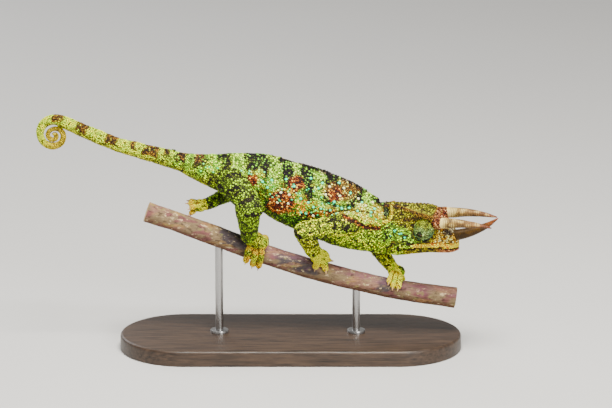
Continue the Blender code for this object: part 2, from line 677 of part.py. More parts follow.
def build_branch_and_stand():
    solid("perch_branch", "bark", rings_of(branch_rows(BRANCH_RINGS), BRANCH_SIDES))
    bm = bmesh.new()
    corners = []
    for x_side, y_side, start in ((1, 1, 0), (-1, 1, 90), (-1, -1, 180), (1, -1, 270)):
        for step in range(7):
            angle = math.radians(start + step * 15)
            corners.append((
                BASE_CENTRE_X + x_side * (BASE_LENGTH / 2 - BASE_CORNER) + BASE_CORNER * math.cos(angle),
                y_side * (BASE_WIDTH / 2 - BASE_CORNER) + BASE_CORNER * math.sin(angle),
            ))
    outline = []
    for corner in corners:
        if not outline or math.dist(corner, outline[-1]) > 0.01:
            outline.append(corner)
    if math.dist(outline[0], outline[-1]) < 0.01:
        outline.pop()
    middle = Vector((BASE_CENTRE_X, 0.0))
    rings = []
    for z, inset in ((0.0, 0.0), (BASE_HEIGHT - BASE_EDGE, 0.0), (BASE_HEIGHT - BASE_EDGE * 0.35, BASE_EDGE * 0.35), (BASE_HEIGHT, BASE_EDGE)):
        ring = []
        for x, y in outline:
            flat = Vector((x, y)) - middle
            shrink = 1 - inset / flat.length
            ring.append((middle.x + flat.x * shrink, middle.y + flat.y * shrink, z))
        rings.append(ring)
    object_from(loft(bm, rings), "stand_base", "stand_wood")
    for name, x in ROD_AT.items():
        axis = branch_point(x, 0, 0)
        rings = []
        foot_z = BASE_HEIGHT + GAP
        for z, radius in (
            (foot_z, COLLAR_RADIUS), (foot_z + COLLAR_HEIGHT * 0.75, COLLAR_RADIUS),
            (foot_z + COLLAR_HEIGHT, COLLAR_RADIUS - 0.5), (foot_z + COLLAR_HEIGHT, ROD_RADIUS),
            (axis.z - 5.0, ROD_RADIUS),
        ):
            rings.append([
                (x + radius * math.cos(TURN * k / 14), radius * math.sin(TURN * k / 14), z) for k in range(14)
            ])
        rod = solid(name, "stand_metal", rings)
        applied(rod, "DIFFERENCE", [branch_cutter("branch_cutter")])
        keep_shell(rod)


# Limbs

def limb_rows(start, end, radii, grow=0.0):
    """A fleshy length of a limb, round at both ends."""
    root, belly, far = radii
    run = end - start
    knots = []
    for share, radius in ((0.0, root), (0.35, belly), (0.7, (belly + far) / 2), (1.0, far)):
        point = start + run * share
        knots.append((*point, radius))
    return rounded(tube_rows(knots, 6, grow))


def limb_solid(name, finish, part, grow=0.0):
    start, end, radii = part
    hint = (0.0, 0.0, 1.0) if abs((end - start).normalized().z) < 0.8 else (1.0, 0.0, 0.0)
    return solid(name, finish, rings_of(limb_rows(start, end, radii, grow), LIMB_SIDES, hint))


def toe(name, points, radius):
    """A toe through the given points, with its claw."""
    tip, before = points[-1], points[-2]
    ahead = (tip - before).normalized()
    path = [(*p, radius) for p in points]
    path[0] = (*points[0], radius * 1.1)
    rows = tube_rows(path, 7)
    end = rows[-1].copy()
    pad, claw_root, claw_tip = end.copy(), end.copy(), end.copy()
    pad[:3] += np.array(ahead) * radius * 0.6
    pad[3:5] = radius * 0.78
    claw_root[:3] += np.array(ahead) * radius * 0.95
    claw_root[3:5] = CLAW_RADIUS
    claw_tip[:3] += np.array(ahead) * (radius + CLAW_LENGTH)
    claw_tip[3:5] = 0.14
    rows = np.vstack([rows, pad, claw_root, claw_tip])
    run = Vector(rows[-1, :3] - rows[0, :3]).normalized()
    hint = (1.0, 0.0, 0.0) if abs(run.x) < 0.8 else (0.0, 1.0, 0.0)
    return solid(name, "skin_limbs", rings_of(rows, TOE_SIDES, hint))


def web(name, one, other, radius):
    """The skin that joins two neighbouring toes for most of their length."""
    path = [(*(a + b) / 2, radius * WEB_SHARE) for a, b in zip(one[:-1], other[:-1])]
    rows = tube_rows(path, 4)
    run = Vector(rows[-1, :3] - rows[0, :3]).normalized()
    hint = (1.0, 0.0, 0.0) if abs(run.x) < 0.8 else (0.0, 1.0, 0.0)
    tip = rows[-1].copy()
    tip[:3] += np.array(run) * radius * 0.6
    tip[3:5] *= 0.55
    return solid(name, "skin_limbs", rings_of(np.vstack([rows, tip]), 6, hint))


def foot(label, name, wrist, wrist_radius):
    """Palm, toes and claws joined, then cut clear of the branch."""
    pieces = []
    if label in GRIPS:
        x, degrees, over, radii = GRIPS[label]["palm"]
        palm_at = branch_point(x, degrees, over)
        toes = []
        for knuckle, tip, radius in GRIPS[label]["toes"]:
            middle = [(a + b) / 2 for a, b in zip(knuckle, tip)]
            middle[2] = min(knuckle[2], tip[2])
            toes.append(([palm_at, branch_point(*knuckle), branch_point(*middle), branch_point(*tip)], radius))
    else:
        palm_at, radii = TRAILING_PALM
        toes = []
        for tip, radius in TRAILING_TOES:
            middle = palm_at.lerp(tip, 0.55) + Vector((0, 0, 0.5))
            toes.append(([palm_at, middle, tip], radius))
    made = ball(name, "skin_limbs", palm_at, radii, across=14, up=8)
    ankle = tube_rows([(*wrist, wrist_radius), (*palm_at, min(radii) * 0.9)], 3)
    pieces.append(solid("ankle", "skin_limbs", rings_of(rounded(ankle), LIMB_SIDES, (1, 0, 0))))
    for number, (points, radius) in enumerate(toes):
        pieces.append(toe(f"toe_{number}", points, radius))
    for bundle in BUNDLES[label]:
        for first, second in zip(bundle, bundle[1:]):
            radius = min(toes[first][1], toes[second][1])
            pieces.append(web(f"web_{first}", toes[first][0], toes[second][0], radius))
    applied(made, "UNION", pieces)
    return made


def build_limbs(place):
    for label, limb in LIMBS.items():
        upper_name, lower_name, foot_name = (f"{part}_{label}" for part in limb["names"])
        start, end, radii = limb["upper"]
        upper = limb_solid(upper_name, "skin_limbs", limb["upper"])
        body = [trunk_cutter(), solid("neck_cutter", "skin_body", neck_rings(place, GAP))]
        applied(upper, "DIFFERENCE", body)
        keep_shell(upper)
        lower = limb_solid(lower_name, "skin_limbs", limb["lower"])
        applied(lower, "DIFFERENCE", [limb_solid("cutter", "skin_limbs", limb["upper"], GAP)])
        keep_shell(lower)
        lower_end, far_radius = limb["lower"][1], limb["lower"][2][2]
        made = foot(label, foot_name, lower_end, far_radius)
        cutters = [limb_solid("cutter", "skin_limbs", limb["lower"], GAP), branch_cutter("branch_cutter")]
        applied(made, "DIFFERENCE", cutters)
        keep_shell(made)


def main():
    clear_scene()
    build_tail_and_trunk()
    place = build_head()
    solid("neck", "skin_body", neck_rings(place))
    build_branch_and_stand()
    build_limbs(place)


main()
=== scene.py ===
"""The visual model of a life-size chameleon on a cut branch.

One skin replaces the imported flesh, and solid scales cover it. Eyes, horns, claws, bark and
the stand are separate pieces. Sizes are in millimetres until a mesh becomes an object.
"""

import math

import bmesh
import bpy
import numpy as np
from mathutils import Matrix, Vector, noise
from mathutils.bvhtree import BVHTree
from mathutils.kdtree import KDTree


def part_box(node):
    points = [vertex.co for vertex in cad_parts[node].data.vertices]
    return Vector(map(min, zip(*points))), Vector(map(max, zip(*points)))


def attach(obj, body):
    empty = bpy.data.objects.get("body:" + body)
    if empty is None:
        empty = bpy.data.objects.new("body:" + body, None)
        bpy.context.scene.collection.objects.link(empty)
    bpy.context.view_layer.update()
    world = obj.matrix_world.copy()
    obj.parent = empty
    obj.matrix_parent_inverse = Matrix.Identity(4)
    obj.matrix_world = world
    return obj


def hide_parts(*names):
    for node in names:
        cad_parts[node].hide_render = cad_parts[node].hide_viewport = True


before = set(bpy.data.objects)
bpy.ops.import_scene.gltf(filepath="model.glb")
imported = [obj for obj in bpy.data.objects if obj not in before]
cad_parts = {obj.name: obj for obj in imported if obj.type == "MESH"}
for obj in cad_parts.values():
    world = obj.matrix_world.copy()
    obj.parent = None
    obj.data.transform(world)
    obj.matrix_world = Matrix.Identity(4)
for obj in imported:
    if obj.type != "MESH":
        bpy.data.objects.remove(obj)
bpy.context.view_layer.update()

MM = 0.001
TURN = 2 * math.pi
COAT = 0.22              # the skin lies this far inside the solids, under the scales
SIDES = 56               # round the trunk and head
STRENGTH = 1.30          # the coat's colours are stored this much stronger than they look
BALANCE = np.array((1.04, 1.10, 0.66))   # and with less blue, which the sky light gives back
VOXEL = 0.32             # mesh size of the skin before it is thinned
SKIN_TRIANGLES = 190000
VIEW_TILT = math.radians(15)
NO_SCALES = 10.0         # the spacing of places that have no scales
UPPER, LOWER, PALM, TOE = range(4)       # the parts of a limb
rng = np.random.default_rng(7)

# The animal's measures, as in the solids

TRUNK_KNOTS = (
    (-98.5, 0.0, 116.2, 3.15, 2.7, 0.0), (-93.3, 0.0, 113.8, 3.30, 2.8, 0.0),
    (-83.3, 0.0, 109.4, 3.45, 3.0, 0.0), (-73.3, 0.0, 105.4, 3.65, 3.2, 0.0),
    (-63.3, 0.0, 102.6, 3.95, 3.4, 0.0), (-53.3, 0.0, 99.8, 4.35, 3.7, 0.05),
    (-43.3, 0.0, 97.0, 4.85, 4.1, 0.1), (-33.5, -0.1, 94.0, 7.0, 5.1, 0.2),
    (-25.8, -0.2, 92.1, 8.9, 6.6, 0.3), (-13.3, -0.1, 89.9, 11.7, 8.2, 0.35),
    (-2.3, 0.2, 87.2, 13.7, 9.0, 0.4), (11.7, 0.5, 80.8, 16.0, 9.6, 0.4),
    (26.7, 0.4, 74.8, 16.9, 9.7, 0.4), (41.7, -0.1, 68.3, 16.3, 9.1, 0.35),
    (50.0, -0.5, 64.9, 14.6, 8.5, 0.3),
)
COIL_CENTRE = Vector((-105.8, 0.0, 111.2))
COIL_DRIFT = 0.8
SPINE_START = 0.3        # the skin begins just inside the tail's tip
TAIL_ROOT, COIL_FROM, COIL_INNER = -34, -96, -116    # places along the tail, unrolled
COIL_QUARTERS = (
    (7.20, 2.60, 2.45), (6.75, 1.88, 2.10), (6.35, 1.68, 1.90), (4.80, 1.36, 1.70),
    (3.19, 1.10, 1.40), (2.92, 1.15, 1.32), (2.22, 1.17, 1.28), (1.35, 1.12, 1.18),
    (0.42, 1.05, 1.05), (0.51, 0.50, 0.56),
)
HEAD_ORIGIN = Vector((62.7, -1.0, 63.9))
HEAD_YAW, HEAD_PITCH, HEAD_ROLL = -15.0, 3.0, 10.0
HEAD_BACK = -6.0
CROWN_Z = ((-6, 11.7), (2, 12.0), (12, 11.4), (19, 10.9), (24, 9.4), (29, 5.0), (32.5, 0.6), (34.6, -3.4))
CREST_Y = (
    (-6, 1.6), (2, 2.4), (9, 4.0), (15, 6.0), (20, 6.7), (26, 5.2), (30, 3.6), (33.4, 2.0), (34.6, 0.5),
)
CREST_LIFT = ((-6, 0.0), (2, 0.3), (14, 0.4), (21, 0.3), (26, 0.0), (34.6, 0.0))
TEMPLE_Y = ((-6, 6.2), (2, 7.4), (9, 7.6), (18, 5.9), (24, 5.3), (30, 4.4), (33.4, 2.6), (34.6, 0.8))
CHEEK_Y = ((-6, 8.2), (2, 9.3), (9, 9.8), (16, 9.0), (22, 7.5), (28, 5.9), (32, 4.1), (34.6, 0.9))
CHEEK_Z = ((-6, -1.8), (6, -3.4), (16, -3.4), (28, -4.2), (34.6, -4.8))
LIP_Y = ((-6, 7.5), (4, 8.9), (12, 8.9), (20, 7.7), (27, 6.1), (32, 4.1), (34.6, 0.9))
MOUTH_Z = ((-6, -9.0), (5, -8.6), (9, -7.7), (16, -6.4), (22, -6.0), (28, -6.4), (34.6, -7.0))
CHIN_Z = ((-6, -15.0), (4, -14.5), (12, -12.7), (20, -11.1), (28, -10.4), (32, -9.8), (34.6, -8.6))
CROWN_DIP = 0.4
JAW_SHARE, JAW_DROP = 0.66, 0.72
MOUTH_CORNER = 6.5
SIDE_HORN = (
    (25.6, 6.3, 8.0, 2.6), (29.2, 6.4, 8.3, 2.6), (34.0, 6.6, 8.9, 2.25),
    (40.0, 6.7, 9.3, 1.75), (46.5, 6.6, 9.2, 1.1), (52.2, 6.5, 8.7, 0.3),
)
NOSE_HORN = (
    (29.0, 0.0, -2.4, 2.75), (32.6, 0.0, -0.8, 2.75), (37.5, 0.0, 0.9, 2.55),
    (42.5, 0.0, 3.2, 2.15), (48.0, 0.0, 6.4, 1.5), (54.0, 0.0, 11.3, 0.3),
)
HORNS = (("horn_left", SIDE_HORN, 1), ("horn_right", SIDE_HORN, -1), ("horn_nose", NOSE_HORN, 1))
HORN_RING = 0.86         # from one ring to the next
# The colours of the paler pair and of the dark horn, from root to tip, and their brown, used for stains and
# for painted shade
HORN_TONES = (
    (((224, 204, 128), (166, 138, 66), (154, 112, 60), (112, 46, 30)), (60, 40, 26)),
    (((58, 36, 2), (66, 46, 2), (92, 60, 6), (176, 82, 36)), (40, 24, 4)),
)
SIDE_BOSS = ((22.6, 4.9, 6.6, 3.2), (24.8, 5.8, 7.6, 3.3), (27.1, 6.4, 8.0, 3.0))
NOSE_BOSS = ((27.0, 0.0, -3.4, 4.6), (30.5, 0.0, -1.9, 4.1), (33.0, 0.0, -0.6, 3.3))
NOSTRIL = Vector((29.4, 4.7, -1.9))
TURRET_CENTRE = Vector((18.1, 7.0, 3.5))
TURRET_AXIS = Vector((-0.22, 0.96, -0.18))
TURRET_PROFILE = (
    (-3.2, 1.6), (-2.6, 4.3), (-1.2, 5.05), (0.6, 5.15), (2.2, 4.65), (3.5, 3.65), (4.5, 2.5),
    (5.1, 1.95), (5.35, 1.6), (5.2, 1.3), (4.7, 1.62), (3.9, 1.98), (3.1, 2.05), (2.0, 1.7), (1.2, 0.7),
)
EYE_OUT, EYE_RADIUS = 3.3, 1.72
LID_CLOSED = 0.6         # the lids' opening is this much lower than it is wide
BRANCH_KNOTS = (
    (-60.0, 0.0, 70.9, 5.1), (-44.0, 0.3, 65.3, 4.9), (-30.0, 0.4, 60.0, 5.1), (0.0, 0.0, 48.6, 4.9),
    (30.0, -0.3, 39.2, 5.1), (45.0, 0.0, 35.2, 4.9), (62.0, 0.2, 31.2, 4.95), (95.0, 0.0, 26.2, 5.2),
)
BASE_CENTRE_X = 12.0
BASE_LENGTH, BASE_WIDTH, BASE_HEIGHT, BASE_EDGE = 172.0, 66.0, 8.0, 1.5
ROD_RADIUS = 2.0
COLLAR_RADIUS, COLLAR_HEIGHT = 4.6, 1.6   # the flange at each rod's foot
ROD_AT = (-24.0, 45.0)
# Each limb: the upper length, the lower length, each as start, end and three radii
LIMBS = {
    "front_right": (
        (Vector((42.5, -5.5, 66.5)), Vector((18.6, -18.5, 65.8)), (6.6, 5.5, 5.0)),
        (Vector((18.6, -18.5, 65.4)), Vector((23.2, -6.8, 53.0)), (4.6, 4.6, 4.1)),
    ),
    "front_left": (
        (Vector((40.5, 5.5, 62.0)), Vector((53.6, 17.0, 50.6)), (6.4, 5.2, 4.6)),
        (Vector((53.6, 17.0, 50.6)), Vector((62.4, 4.4, 41.6)), (4.3, 4.2, 3.2)),
    ),
    "rear_right": (
        (Vector((-17.0, -4.5, 87.5)), Vector((-6.6, -17.0, 77.6)), (8.2, 7.0, 5.6)),
        (Vector((-9.0, -16.6, 76.6)), Vector((-8.6, -8.0, 60.4)), (6.6, 5.6, 4.1)),
    ),
    "rear_left": (
        (Vector((-17.5, 4.5, 87.0)), Vector((-14.6, 15.0, 76.6)), (7.8, 6.4, 5.2)),
        (Vector((-14.6, 14.4, 78.4)), Vector((-30.4, 5.8, 73.4)), (4.4, 3.9, 3.1)),
    ),
}
FRONT_LIMBS, REAR_LEFT = 2, 3    # the first two limbs are the front ones
# Palm: x, degrees round the branch from its top to the near side, height over the bark, radii.
# Toes: knuckle, then tip, in the same measures, and the toe's radius
GRIPS = {
    "front_right": (
        (24.4, 22.0, 3.6, (5.0, 3.6, 4.0)),
        (
            ((23.6, 34.0, 2.4), (23.6, 60.0, 1.6), 1.6), ((27.2, 30.0, 2.4), (28.4, 58.0, 1.6), 1.6),
            ((26.0, 6.0, 4.4), (29.0, 2.0, 1.8), 1.45), ((25.8, -16.0, 3.6), (29.2, -26.0, 1.6), 1.5),
            ((24.6, -36.0, 2.6), (27.8, -60.0, 1.5), 1.5),
        ),
    ),
    "front_left": (
        (63.6, -14.0, 3.6, (4.6, 3.6, 3.6)),
        (
            ((60.9, 22.0, 2.6), (60.5, 44.0, 1.7), 1.45), ((63.0, 26.0, 2.6), (62.8, 60.0, 1.7), 1.5),
            ((65.6, 24.0, 2.5), (65.4, 60.0, 1.6), 1.5), ((64.0, -52.0, 2.2), (64.4, -104.0, 1.5), 1.55),
            ((67.2, -44.0, 2.2), (68.8, -98.0, 1.5), 1.55),
        ),
    ),
    "rear_right": (
        (-6.6, 46.0, 3.4, (5.6, 3.4, 4.4)),
        (
            ((-9.2, 80.0, 2.3), (-8.6, 126.0, 2.6), 1.7), ((-5.6, 82.0, 2.4), (-5.0, 132.0, 2.9), 1.75),
            ((-3.0, 78.0, 2.3), (-2.2, 130.0, 2.9), 1.65), ((-3.4, -8.0, 2.8), (-1.0, -84.0, 1.6), 1.8),
            ((-6.8, -12.0, 2.8), (-5.4, -92.0, 1.6), 1.8),
        ),
    ),
}
TRAILING_PALM = (Vector((-33.6, 4.4, 73.0)), (3.6, 3.2, 3.4))
TRAILING_TOES = (
    (Vector((-37.6, 6.2, 74.6)), 1.6), (Vector((-37.9, 3.4, 74.4)), 1.6), (Vector((-37.4, 0.9, 72.9)), 1.5),
    (Vector((-37.8, 1.6, 70.0)), 1.3), (Vector((-36.9, 4.6, 69.6)), 1.3),
)
CLAW_LENGTH, CLAW_RADIUS = 1.5, 0.52
# Toes that grow together: numbers of the toes on each side of the grip
BUNDLES = {
    "front_right": ((0, 1), (2, 3, 4)), "front_left": ((0, 1, 2), (3, 4)),
    "rear_right": ((0, 1, 2), (3, 4)), "rear_left": ((0, 1, 2), (3, 4)),
}
WEB_SHARE = 0.84         # thickness of the web between two toes, as a share of a toe's

# Colours of the coat: dark, middle and bright scales of each area, as screen values 0 to 255

TONES = {
    "tail": ((78, 79, 0), (213, 243, 0), (255, 255, 11)),
    "tail_band": ((24, 14, 6), (66, 44, 12), (150, 112, 20)),
    "tail_under": ((60, 52, 8), (140, 132, 28), (206, 202, 70)),
    "tail_inner": ((90, 66, 30), (170, 136, 70), (216, 186, 104)),
    "tail_root": ((42, 55, 0), (152, 194, 8), (218, 255, 44)),
    "hips": ((18, 13, 1), (81, 88, 3), (152, 170, 18)),
    "hip_mint": ((85, 128, 45), (205, 255, 129), (237, 255, 159)),
    "flank": ((104, 119, 35), (169, 204, 96), (210, 255, 158)),
    "flank_teal": ((44, 92, 39), (126, 204, 128), (171, 255, 196)),
    "flank_tan": ((152, 83, 22), (255, 177, 85), (255, 231, 132)),
    "low_flank": ((14, 20, 6), (60, 84, 32), (116, 160, 82)),
    "belly": ((20, 22, 4), (78, 90, 14), (150, 168, 50)),
    "black": ((3, 2, 1), (21, 12, 4), (127, 171, 91)),
    "keel": ((6, 3, 8), (34, 22, 30), (150, 126, 134)),
    "pale": ((78, 104, 38), (190, 226, 121), (225, 255, 163)),
    "rust": ((33, 7, 4), (120, 56, 25), (255, 190, 130)),
    "shoulder": ((160, 124, 48), (234, 228, 132), (236, 255, 196)),
    "saddle": ((28, 14, 8), (134, 92, 48), (246, 236, 176)),
    # Painted shade for the fold from the upper arm to the head
    "fold_shade_line": ((24, 9, 4), (66, 28, 8), (176, 104, 32)),
    # Painted shade for the fold on the flank
    "fold": ((18, 34, 20), (56, 84, 44), (128, 160, 100)),
    "limb": ((15, 9, 0), (88, 105, 0), (174, 205, 5)),
    "limb_dark": ((12, 9, 4), (38, 32, 6), (128, 152, 40)),
    "arm": ((27, 21, 4), (144, 164, 21), (255, 255, 96)),
    "forearm": ((28, 22, 4), (155, 159, 24), (255, 255, 83)),
    "hand": ((64, 43, 5), (255, 251, 34), (255, 255, 129)),
    "foot": ((22, 14, 5), (125, 132, 6), (232, 234, 33)),
    "toe": ((110, 60, 2), (248, 180, 0), (255, 228, 60)),
    # Painted shade for the creases between the toes
    "toe_gap": ((20, 10, 4), (60, 38, 10), (110, 80, 24)),
    "throat": ((28, 31, 1), (146, 175, 14), (239, 255, 63)),
    "cheek": ((17, 22, 1), (110, 140, 2), (192, 236, 20)),
    "casque": ((25, 14, 5), (111, 109, 2), (188, 181, 13)),
    "crown": ((19, 10, 7), (103, 103, 4), (180, 177, 8)),
    "crest": ((18, 8, 12), (62, 38, 32), (132, 96, 46)),
    "head_dark": ((16, 7, 8), (46, 27, 16), (108, 84, 36)),
    "turret": ((40, 49, 32), (122, 144, 102), (191, 212, 164)),
    "turret_rim": ((28, 46, 42), (80, 114, 100), (138, 176, 154)),
    "snout": ((60, 30, 12), (235, 183, 93), (255, 255, 208)),
    "lip": ((176, 88, 0), (255, 212, 0), (255, 240, 6)),
    "jaw": ((26, 20, 3), (108, 98, 12), (190, 176, 60)),
    "jaw_tip": ((84, 44, 34), (158, 98, 78), (206, 152, 122)),
    "boss": ((40, 12, 8), (116, 58, 38), (216, 168, 148)),
    "grey": ((44, 36, 36), (122, 106, 102), (184, 172, 162)),
    "nape": ((70, 72, 16), (166, 172, 60), (226, 232, 116)),
    "arc": ((150, 120, 20), (232, 214, 40), (255, 250, 110)),
    # Painted shade for the hollow behind the arc on the head
    "hollow_shade": ((5, 6, 8), (16, 18, 18), (120, 140, 110)),
    "cyan": ((40, 196, 172), (36, 238, 216), (120, 255, 240)),
    "white": ((214, 208, 176), (250, 246, 224), (255, 255, 246)),
}


def linear(colour):
    """Screen values 0 to 255 as the linear light that a shader takes."""
    c = np.clip(np.asarray(colour, float) / 255, 0, 1)
    return np.where(c <= 0.04045, c / 12.92, ((c + 0.055) / 1.055) ** 2.4)


def ramp(x, low, high):
    """Goes smoothly from 0 at low to 1 at high."""
    t = np.clip((x - low) / (high - low), 0, 1)
    return t * t * (3 - 2 * t)


def hill(x, centre, half, soft):
    """1 within half of the centre, and smoothly 0 at half plus soft."""
    return 1 - ramp(np.abs(x - centre), half, half + soft)


def noise_at(points, size, seed):
    """Smooth noise from about -1 to 1, with lumps of the given size."""
    shift = Vector((seed * 17.3, seed * 9.1, -seed * 5.7))
    return np.array([noise.noise(Vector(p) + shift) for p in points / size]) * 1.6


def washed(colour, over, share):
    """One colour laid over others, as thick at each point as its share."""
    return colour + (np.asarray(over, float) - colour) * np.clip(share, 0, 1)[:, None]


def units(rows):
    """Each row made one long."""
    return rows / np.linalg.norm(rows, axis=1)[:, None]


# Curves and lofts

def hermite(knots, along, at):
    """A smooth curve through rows of numbers, read at the places in at."""
    knots = np.asarray(knots, float)
    steps = np.diff(along)[:, None]
    slopes = np.diff(knots, axis=0) / steps
    tangents = np.empty_like(knots)
    tangents[0], tangents[-1] = slopes[0], slopes[-1]
    before, after = steps[:-1], steps[1:]
    tangents[1:-1] = (slopes[:-1] * after + slopes[1:] * before) / (before + after)
    span = np.clip(np.searchsorted(along, at, side="right") - 1, 0, len(knots) - 2)
    width = steps[span]
    t = ((at - along[span]) / width[:, 0])[:, None]
    return (
        knots[span] * (2 * t**3 - 3 * t**2 + 1) + tangents[span] * width * (t**3 - 2 * t**2 + t)
        + knots[span + 1] * (3 * t**2 - 2 * t**3) + tangents[span + 1] * width * (t**3 - t**2)
    )


def lengths_of(knots):
    """How far along a path each of its knots lies."""
    points = np.asarray(knots, float)[:, :3]
    return np.concatenate([[0.0], np.cumsum(np.linalg.norm(np.diff(points, axis=0), axis=1))])


def profile(knots, x):
    """The height or width that a two-column profile gives at each x."""
    table = np.asarray(knots, float)
    at = np.clip(np.atleast_1d(np.asarray(x, float)), table[0, 0], table[-1, 0])
    return hermite(table[:, 1:], table[:, 0], at)[:, 0]


def directions(points, hint, tangent=None):
    """The side and up directions at each point of a path."""
    tangent = units(np.gradient(points, axis=0) if tangent is None else tangent)
    hint = np.asarray(hint, float)
    side = units(hint - (tangent @ hint)[:, None] * tangent)
    return side, np.cross(tangent, side)


def rings_of(rows, sides, hint=(0.0, 1.0, 0.0), tangent=None):
    """Cross-sections along rows of x, y, z, half height, half width and keel."""
    points = rows[:, :3]
    side, up = directions(points, hint, tangent)
    angle = np.arange(sides) * TURN / sides
    rise = rows[:, 3:4] * np.cos(angle)
    keel = 1 - rows[:, 5:6] * np.maximum(np.cos(angle), 0) ** 2
    spread = rows[:, 4:5] * np.sin(angle) * keel
    return points[:, None] + up[:, None] * rise[..., None] + side[:, None] * spread[..., None]


def loft(bm, rings):
    """Extrudes a cap through the rings, which leaves one closed body."""
    cap_verts = [bm.verts.new(p) for p in rings[0]]
    cap = bm.faces.new(cap_verts)
    for ring in rings[1:]:
        place = {vert: p for vert, p in zip(cap_verts, ring)}
        made = bmesh.ops.extrude_face_region(bm, geom=[cap, *cap.edges, *cap.verts])["geom"]
        cap = next(item for item in made if isinstance(item, bmesh.types.BMFace))
        moved = {}
        for vert in cap.verts:
            below = next(e.other_vert(vert) for e in vert.link_edges if e.other_vert(vert) in place)
            moved[below] = vert
            vert.co = place[below]
        cap_verts = [moved[vert] for vert in cap_verts]


def rounded(rows):
    """Adds a round end to both ends of a path whose columns 3 and 4 are radii."""
    out = []
    for end, inner in ((rows[0], rows[1]), (rows[-1], rows[-2])):
        away = end[:3] - inner[:3]
        away /= np.linalg.norm(away)
        radius = min(end[3], end[4])
        extra = []
        for turn in (20, 40, 60, 75, 86):
            row = end.copy()
            row[:3] += away * radius * math.sin(math.radians(turn))
            row[3:5] *= math.cos(math.radians(turn))
            extra.append(row)
        out.append(extra)
    return np.array(out[0][::-1] + list(rows) + out[1])


def tube_rows(knots, count, grow=0.0):
    """Even rows along the knots of a round tube."""
    knots = np.asarray(knots, float)
    along = lengths_of(knots)
    rows = hermite(knots, along, np.linspace(0, along[-1], count))
    rows[:, 3] = np.maximum(rows[:, 3], 0.12) + grow
    return np.column_stack([rows, rows[:, 3], np.zeros(count)])


# Objects and materials

def placed(name, data):
    """A new object in the scene, at the origin."""
    made = bpy.data.objects.new(name, data)
    bpy.context.scene.collection.objects.link(made)
    return made


def mesh_object(name, mesh, material, slot, *replaced):
    """Makes the finished object of a piece, hangs it on the root, and hides the imported parts that it
    stands for.
    """
    mesh.materials.clear()
    mesh.materials.append(material)
    piece = placed(name, mesh)
    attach(piece, "root")
    if replaced:
        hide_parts(*replaced)
    return piece


def mesh_from(bm, name, matrix=None, sharp=None):
    """A bmesh in millimetres as a smooth-shaded mesh in metres."""
    if matrix is not None:
        bm.transform(matrix)
    bm.transform(Matrix.Scale(MM, 4))
    bmesh.ops.recalc_face_normals(bm, faces=bm.faces)
    mesh = bpy.data.meshes.new(name)
    bm.to_mesh(mesh)
    bm.free()
    mesh.shade_smooth()
    if sharp:
        mesh.set_sharp_from_angle(angle=math.radians(sharp))
    return mesh


def coordinates(mesh):
    """Places and normals of a mesh's points, the places in millimetres."""
    count = len(mesh.vertices)
    places, normals = np.empty(count * 3), np.empty(count * 3)
    mesh.vertices.foreach_get("co", places)
    mesh.vertex_normals.foreach_get("vector", normals)
    return places.reshape(-1, 3) / MM, normals.reshape(-1, 3)


def move_points(mesh, places):
    mesh.vertices.foreach_set("co", (places * MM).ravel())
    mesh.update()


def tint(mesh, colours):
    """Stores a linear colour at each point for the material to read."""
    layer = mesh.color_attributes.new("tint", "FLOAT_COLOR", "POINT")
    values = np.column_stack([colours, np.ones(len(colours))])
    layer.data.foreach_set("color", values.astype(np.float32).ravel())


def node(tree, kind, **values):
    """Adds a shader node and sets its properties and input values by name."""
    made = tree.nodes.new(kind)
    for key, value in values.items():
        if hasattr(made, key):
            setattr(made, key, value)
        else:
            made.inputs[key.replace("_", " ")].default_value = value
    return made


def surface(name, roughness, specular=0.5):
    """A material with its Principled shader, its Object coordinates and its links."""
    material = bpy.data.materials.new(name)
    material.use_nodes = True
    tree = material.node_tree
    shader = tree.nodes["Principled BSDF"]
    shader.inputs["Roughness"].default_value = roughness
    shader.inputs["Specular IOR Level"].default_value = specular
    coords = tree.nodes.new("ShaderNodeTexCoord")
    return material, tree, shader, coords.outputs["Object"]


def noise_node(tree, coords, scale, detail=3.0, roughness=0.55, stretch=None):
    if stretch:
        turn = node(tree, "ShaderNodeMapping", Scale=stretch)
        tree.links.new(coords, turn.inputs["Vector"])
        coords = turn.outputs["Vector"]
    made = node(tree, "ShaderNodeTexNoise", Scale=scale, Detail=detail, Roughness=roughness)
    tree.links.new(coords, made.inputs["Vector"])
    return made.outputs["Fac"]


def range_node(tree, value, low, high, to_low, to_high):
    made = node(tree, "ShaderNodeMapRange")
    for key, number in (("From Min", low), ("From Max", high), ("To Min", to_low), ("To Max", to_high)):
        made.inputs[key].default_value = number
    tree.links.new(value, made.inputs["Value"])
    return made.outputs["Result"]


def two_tones(tree, value, dark, light, low=0.0, high=1.0):
    """A colour that goes from dark to light as a value goes from low to high."""
    made = tree.nodes.new("ShaderNodeValToRGB")
    for stop, place, tone in zip(made.color_ramp.elements, (low, high), (dark, light)):
        stop.position, stop.color = place, (*tone, 1)
    tree.links.new(value, made.inputs["Fac"])
    return made.outputs["Color"]


def shaded(tree, colour, factor):
    """A colour made lighter or darker by a factor."""
    made = node(tree, "ShaderNodeVectorMath", operation="SCALE")
    tree.links.new(colour, made.inputs[0])
    tree.links.new(factor, made.inputs["Scale"])
    return made.outputs["Vector"]


def bump(tree, shader, height, distance, strength=1.0):
    made = node(tree, "ShaderNodeBump", Strength=strength, Distance=distance)
    tree.links.new(height, made.inputs["Height"])
    tree.links.new(made.outputs["Normal"], shader.inputs["Normal"])


def tinted_surface(name, roughness, specular, grain, variation, bump_height, rough_spread=0.0):
    """A material that reads the stored tint and adds grain in colour, gloss and relief."""
    material, tree, shader, coords = surface(name, roughness, specular)
    colour = node(tree, "ShaderNodeAttribute", attribute_name="tint").outputs["Color"]
    fine = noise_node(tree, coords, grain)
    factor = range_node(tree, fine, 0.3, 0.7, 1 - variation, 1 + variation)
    tree.links.new(shaded(tree, colour, factor), shader.inputs["Base Color"])
    if rough_spread:
        spread = range_node(tree, fine, 0.3, 0.7, roughness - rough_spread, roughness + rough_spread)
        tree.links.new(spread, shader.inputs["Roughness"])
    if bump_height:
        bump(tree, shader, fine, bump_height)
    return material


# The animal's form

